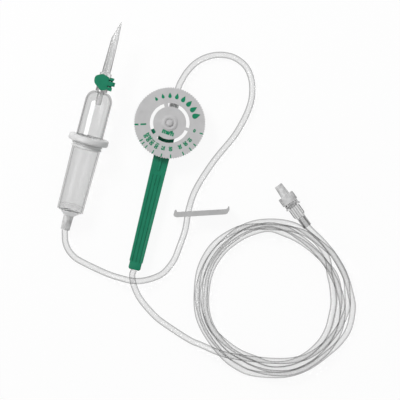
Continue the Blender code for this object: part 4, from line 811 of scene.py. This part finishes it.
def make_vent_cap():
    """Vent cap with a fuller thumb tab, closed roots between its hinge fingers, and dark boxes of
    painted shade in its hinge slits.
    """
    cap = finished("vent_cap", GREEN, 0.25)
    across = Vector((0.0, 0.0, 1.0)).cross(VENT_AXIS).normalized()
    axes = (across, VENT_AXIS.cross(across), VENT_AXIS)
    roots = bmesh.new()
    shade_boxes = bmesh.new()
    for station in VENT_SLITS:
        start, end = station - SLIT_HALF, station + SLIT_HALF
        bar(roots, VENT_HINGE, axes, (SLIT_END, ROOT_FLOOR, start), (SLIT_ROOT, CAP_TOP, end))
        for near, far in ((start, station - SLIT_OPEN), (station + SLIT_OPEN, end)):
            bar(roots, VENT_HINGE, axes, (FINGER_END, ROOT_FLOOR, near), (SLIT_ROOT, CAP_TOP, far))
        # Dark box of painted shade in the slit, standing for the shade between the green walls
        bar(
            shade_boxes,
            VENT_HINGE,
            axes,
            (SLIT_SHADE_BOX[0], SLIT_SHADE_BOX[1], start),
            (SLIT_ROOT, SLIT_SHADE_BOX[2], end),
        )
    knuckle = (VENT_SLITS[0] + SLIT_HALF, VENT_SLITS[1] - SLIT_HALF)
    low, high = zip(KNUCKLE_SPAN, KNUCKLE_HEIGHTS, knuckle)
    bar(roots, VENT_HINGE, axes, low, high)
    new_piece("vent_cap_roots", roots, "vent_cap", GREEN)
    new_piece("vent_cap_slit_shade", shade_boxes, "vent_cap", SLIT_PAINTED_SHADE)
    for vertex in cap.data.vertices:
        place = (vertex.co - VENT_HINGE) / MM
        share = min(max((place.dot(across) - LID_MIDDLE) / TAB_REACH, 0.0), 1.0)
        lift = share * (TAB_LIFT + TAB_SPREAD * place.dot(VENT_AXIS))
        vertex.co += (lift * VENT_AXIS - share * TAB_TUCK * across) * MM


# Turned pieces of the drip chamber in millimetres: a profile point is (radius, station)
PLUG_RADIUS = 7.35
PLUG_WALL = 0.9
PLUG_TOP = RIM + 3.6
PLUG_FOOT = RIM - 0.2
PLUG_CLEAR_FROM = RIM + 0.6
CONE_HEEL = (4.2, 10.2)
CONE_NECK = (3.3, 9.6)
STUB_END = (2.95, 0.3)
STUB_LIP = (2.75, 0.0)
SOCKET_RADIUS = 2.3
OUTLET_BORE = 1.4
OUTLET_BORE_TOP = 10.8
SLEEVE_WALL = 0.9
SLEEVE_END = 0.2
MOUTH_RIDGE = 10.0
MOUTH_LOW_RIDGE = 9.9
MOUTH_GROOVE = 9.3
MOUTH_STEP = 0.4
MOUTH_FOOT = MOUTH_TOP - 9 * MOUTH_STEP
MOUTH_BORE = SPIGOT_RADIUS + GAP
FLANGE_HEAD = BELL + 0.5
FLANGE_BORE = MOUTH_BORE - 0.9
BELL_NECK = 3.0
BELL_ROOT = 3.65
BELL_BORE = 2.15
BELL_SEAT = BELL + 1.3
SPIGOT_FOOT = BELL - 6.0
DROP_FOOT = NECK - 8.4
DROP_RADII = (1.85, 1.5, 1.0)
DROP_CHAMFER = 0.3


def turned(name, profile, material, slot, **finish):
    """Turned piece along the drip chamber."""
    return lathe(name, profile, CHAMBER, "main", material, slot, **finish)


def station_of(face):
    """Place of a face along the drip chamber, in millimetres."""
    return (CHAMBER.inverted() @ face.center).z / MM


def make_outlet_cap():
    """Frosted stub, pale cone and clear plug of the outlet cap, turned as one piece."""
    piece = turned(
        "outlet_cap_fine",
        (
            (PLUG_RADIUS, PLUG_TOP),
            (PLUG_RADIUS, PLUG_FOOT),
            CONE_HEEL,
            CONE_NECK,
            STUB_END,
            STUB_LIP,
            (SOCKET_RADIUS, 0.0),
            (SOCKET_RADIUS, SOCKET_DEPTH),
            (OUTLET_BORE, SOCKET_DEPTH + GAP),
            (OUTLET_BORE, OUTLET_BORE_TOP),
            (PLUG_RADIUS - PLUG_WALL, PLUG_TOP),
        ),
        FROST,
        "milky_plastic",
        inside=MESH,
    )
    piece.data.materials.append(PALE)
    for face in piece.data.polygons:
        station = station_of(face)
        if station > PLUG_CLEAR_FROM:
            face.material_index = 1
        elif station > CONE_FOOT:
            face.material_index = 2
        else:
            face.material_index = 0
    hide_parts("outlet_cap")


def make_sleeve():
    """Milky sleeve and the ridged ring round its mouth."""
    sleeve = turned(
        "lower_chamber_fine",
        (
            (SLEEVE_HEAD, MOUTH_FOOT),
            (SLEEVE_FOOT, RIM),
            (SLEEVE_FOOT - SLEEVE_WALL, RIM),
            (MOUTH_BORE, MOUTH_FOOT),
        ),
        SLEEVE,
        "milky_plastic",
    )
    sleeve.data.materials.append(MESH)
    for face in sleeve.data.polygons:
        if station_of(face) < RIM + SLEEVE_END:
            face.material_index = 1
    turned(
        "lower_chamber_mouth",
        (
            (MOUTH_GROOVE, FLANGE),
            (MOUTH_GROOVE, MOUTH_TOP - MOUTH_STEP),
            (MOUTH_RIDGE, MOUTH_TOP - 1.5 * MOUTH_STEP),
            (MOUTH_RIDGE, MOUTH_TOP - 3.5 * MOUTH_STEP),
            (MOUTH_GROOVE, MOUTH_TOP - 4 * MOUTH_STEP),
            (MOUTH_GROOVE, MOUTH_TOP - 5.5 * MOUTH_STEP),
            (MOUTH_LOW_RIDGE, MOUTH_TOP - 6 * MOUTH_STEP),
            (MOUTH_LOW_RIDGE, MOUTH_TOP - 8 * MOUTH_STEP),
            (SLEEVE_HEAD, MOUTH_FOOT),
            (MOUTH_BORE, MOUTH_FOOT),
            (MOUTH_BORE, FLANGE),
        ),
        MILKY,
        "milky_plastic",
        rounding=0.12,
    )
    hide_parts("lower_chamber")


def make_flange():
    """Milky finger flange with a rounded rim and a pale bore."""
    flange = turned(
        "flange_ring_fine",
        (
            (FLANGE_RADIUS, FLANGE_HEAD),
            (FLANGE_RADIUS, FLANGE),
            (FLANGE_BORE, FLANGE),
            (FLANGE_BORE, FLANGE_HEAD),
        ),
        MILKY,
        "milky_plastic",
        rounding=1.3,
        inside=PALE,
    )
    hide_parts("flange_ring")


def make_bell():
    """Clear bell with its spigot, and the drop tube that hangs in it."""
    turns = [radians(angle) for angle in range(0, 91, 6)]
    bore = BELL_RADIUS - BELL_WALL
    dome = NECK - SHOULDER
    outer = [
        (BELL_ROOT + (BELL_RADIUS - BELL_ROOT) * sin(turn), SHOULDER + dome * cos(turn))
        for turn in turns
    ]
    inner = [
        (BELL_BORE + (bore - BELL_BORE) * sin(turn), SHOULDER + (dome - BELL_WALL) * cos(turn))
        for turn in reversed(turns)
    ]
    bell = turned(
        "upper_chamber_fine",
        (
            (BELL_NECK, COLLAR_TOP),
            (BELL_NECK, NECK),
            *outer,
            (BELL_RADIUS, BELL),
            (SPIGOT_RADIUS, BELL),
            (SPIGOT_RADIUS, SPIGOT_FOOT),
            (SPIGOT_RADIUS - BELL_WALL, SPIGOT_FOOT),
            (SPIGOT_RADIUS - BELL_WALL, BELL),
            (bore, BELL + BELL_WALL),
            *inner,
            (BELL_BORE, COLLAR_TOP),
        ),
        CLEAR,
        "clear_plastic",
        inside=INSIDE,
    )
    bell.data.materials.append(MESH)
    for face in bell.data.polygons:
        if station_of(face) < BELL_SEAT:
            face.material_index = 2
        elif face.normal.z < -0.5:
            face.material_index = 1
    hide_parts("upper_chamber")
    outside, tip, hole = DROP_RADII
    drop_tube = turned(
        "drop_tube_fine",
        (
            (outside, DROP_TOP),
            (outside, DROP_FOOT + DROP_CHAMFER),
            (tip, DROP_FOOT),
            (hole, DROP_FOOT),
            (hole, DROP_TOP),
        ),
        CLEAR,
        "clear_plastic",
        facets=48,
        inside=INSIDE,
    )
    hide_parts("drop_tube")


def make_spike():
    """Clear spike, with its hinge ears painted dark green as painted shade from the cap's green walls
    round them.
    """
    spike = finished("spike", CLEAR)
    spike.data.materials.append(SLIT_PAINTED_SHADE)
    # Faces near the hinge's axis take the painted shade
    for face in spike.data.polygons:
        reach = face.center - VENT_HINGE
        if (reach - reach.dot(VENT_AXIS) * VENT_AXIS).length < PAINTED_SHADE_REACH * MM:
            face.material_index = 1


def make_chamber():
    """All pieces of the drip chamber, from its outlet to its spike."""
    make_outlet_cap()
    make_sleeve()
    make_flange()
    make_bell()
    make_spike()
    make_vent_cap()
    finished("fluid_filter", MESH)
    finished("air_filter", FILTER)


# Flow regulator

TICKS = (341.4, 318.7, 308.2, 293.8, 271.5, 255.5, 239.9, 225.2, 217.1, 211.2)
NUMBERS = ("0", "10", "20", "30", "50", "75", "100", "150", "200", "250")
TICK_INNER = 20.4
TICK_OUTER = 22.7
TICK_WIDTH = 0.75
NUMBER_ANGLES = (342.0, 318.9, 306.9, 292.8, 271.5, 254.8, 239.7, 227.4, 217.4, 207.9)
NUMBER_RADIUS = 16.8
NUMBER_SIZE = 2.85
OPEN_MARK_ANGLE = 182.6
OPEN_MARK_SPANS = ((15.2, 18.9), (20.2, 22.7))
OPEN_MARK_WIDTH = 1.1
INK_THICKNESS = 0.05
DROP_COUNT = 8
DROP_RADIUS = 17.9
DROP_ANGLES = (119.0, 15.0)
DROP_SIZES = (1.4, 2.8)
UNIT_SIZE = 4.4
UNIT_PLACE = (-1.0, -6.0)
UNIT_ANGLE = -18.5
TEXT_WEIGHT = 0.065


def print_outline(bm, outline):
    """Flat printed shape on the dial's top, from an outline in millimetres."""
    low = [bm.verts.new(Vector((x, y, DIAL_TOP - INK_THICKNESS)) * MM) for x, y in outline]
    face = bm.faces.new(low)
    raised = bmesh.ops.extrude_face_region(bm, geom=[face])
    verts = [item for item in raised["geom"] if isinstance(item, bmesh.types.BMVert)]
    bmesh.ops.translate(bm, vec=(0.0, 0.0, 2 * INK_THICKNESS * MM), verts=verts)


def print_bar(bm, angle, inner, outer, width):
    """Printed bar along a radius."""
    turn = Matrix.Rotation(radians(angle), 2)
    corners = ((inner, -width / 2), (outer, -width / 2), (outer, width / 2), (inner, width / 2))
    print_outline(bm, [tuple(turn @ Vector(c)) for c in corners])


def print_text(bm, text, size, place, angle):
    """Printed plain text, with its middle at a place in millimetres."""
    curve = bpy.data.curves.new("text", "FONT")
    curve.body = text
    curve.size = size * MM
    curve.extrude = INK_THICKNESS * MM
    curve.offset = TEXT_WEIGHT * size * MM
    curve.align_x = "CENTER"
    curve.align_y = "CENTER"
    curve.resolution_u = 3
    holder = bpy.data.objects.new("text", curve)
    bpy.context.scene.collection.objects.link(holder)
    bpy.context.view_layer.update()
    graph = bpy.context.evaluated_depsgraph_get()
    mesh = bpy.data.meshes.new_from_object(holder.evaluated_get(graph))
    spot = Matrix.Translation(Vector((*place, DIAL_TOP)) * MM)
    mesh.transform(spot @ Matrix.Rotation(radians(angle), 4, "Z"))
    bm.from_mesh(mesh)
    bpy.data.objects.remove(holder, do_unlink=True)


def drop_outline(angle, size):
    """Drop with its point outwards, at an angle round the dial."""
    turn = Matrix.Rotation(radians(angle - 90.0), 2)
    outline = []
    for step in range(24):
        t = 2 * pi * step / 24
        x = size * 0.85 * sin(t) * sin(t / 2) ** 1.4
        outline.append(tuple(turn @ Vector((x, DROP_RADIUS + size * cos(t)))))
    return outline


def make_dial_print():
    """Printed scale, a row of growing drops and the unit, on the dial's top."""
    bm = bmesh.new()
    for angle in TICKS:
        print_bar(bm, angle, TICK_INNER, TICK_OUTER, TICK_WIDTH)
    for inner, outer in OPEN_MARK_SPANS:
        print_bar(bm, OPEN_MARK_ANGLE, inner, outer, OPEN_MARK_WIDTH)
    for share, size in zip(np.linspace(0.0, 1.0, DROP_COUNT), np.linspace(*DROP_SIZES, DROP_COUNT)):
        angle = DROP_ANGLES[0] + share * (DROP_ANGLES[1] - DROP_ANGLES[0])
        print_outline(bm, drop_outline(angle, size))
    for angle, number in zip(NUMBER_ANGLES, NUMBERS):
        place = (NUMBER_RADIUS * cos(radians(angle)), NUMBER_RADIUS * sin(radians(angle)))
        print_text(bm, number, NUMBER_SIZE, place, angle)
    print_text(bm, "ml/h", UNIT_SIZE, UNIT_PLACE, UNIT_ANGLE)
    new_piece("dial_print", bm, "dial", INK, sharp=30.0)


def make_regulator():
    """Green base, milky flow body and pin, grey dial with its print."""
    finished("regulator_base", GREEN, 0.2)
    finished("flow_body", MILKY, 0.15)
    finished("metering_seal", SILICONE)
    finished("pivot_pin", DIAL_GREY, 0.1)
    finished("dial", DIAL_GREY, 0.12)
    make_dial_print()


def make_fin_edges():
    """Rims of painted shade on the luer connector's clear fins, which lie flat: dark strips standing
    for the dark edge that refraction gives a clear fin.
    """
    axes = [LUER.to_3x3() @ Vector(axis) for axis in ((1, 0, 0), (0, 1, 0), (0, 0, 1))]
    foot, end = FIN_STATIONS
    shade_rims = bmesh.new()
    panels = bmesh.new()
    for side in (-1, 1):
        near, far = sorted((side * (FIN_REACH - FIN_RIM), side * FIN_REACH))
        bar(shade_rims, LUER.translation, axes, (near, -FIN_HALF, foot), (far, FIN_HALF, end))
        near, far = sorted((side * FIN_ROOT, side * (FIN_REACH - FIN_RIM)))
        bar(shade_rims, LUER.translation, axes, (near, -FIN_HALF, foot - FIN_RIM), (far, FIN_HALF, foot))
        bar(panels, LUER.translation, axes, (near, -PANEL_HALF, foot), (far, PANEL_HALF, end))
    new_piece("luer_fin_painted_shade", shade_rims, "main", FIN_RIM_PAINTED_SHADE)
    new_piece("luer_fin_panels", panels, "main", RIGID)


def make_clamp_and_luer():
    """Slide clamp, luer connector with its lock collar, and the cap."""
    finished("slide_clamp", CLAMP_GREY, 0.2)
    finished("luer_connector", RIGID, 0.42)
    make_fin_edges()
    finished("lock_collar", CLEAR, 0.15)
    finished("luer_cap", CAP)
    frame["nodes"]["cap_membrane"].data.materials.clear()
    frame["nodes"]["cap_membrane"].data.materials.append(FILTER)


make_studio()
make_chamber()
make_regulator()
make_clamp_and_luer()
make_channel_tube()
make_upper_cord()
make_lower_cord()
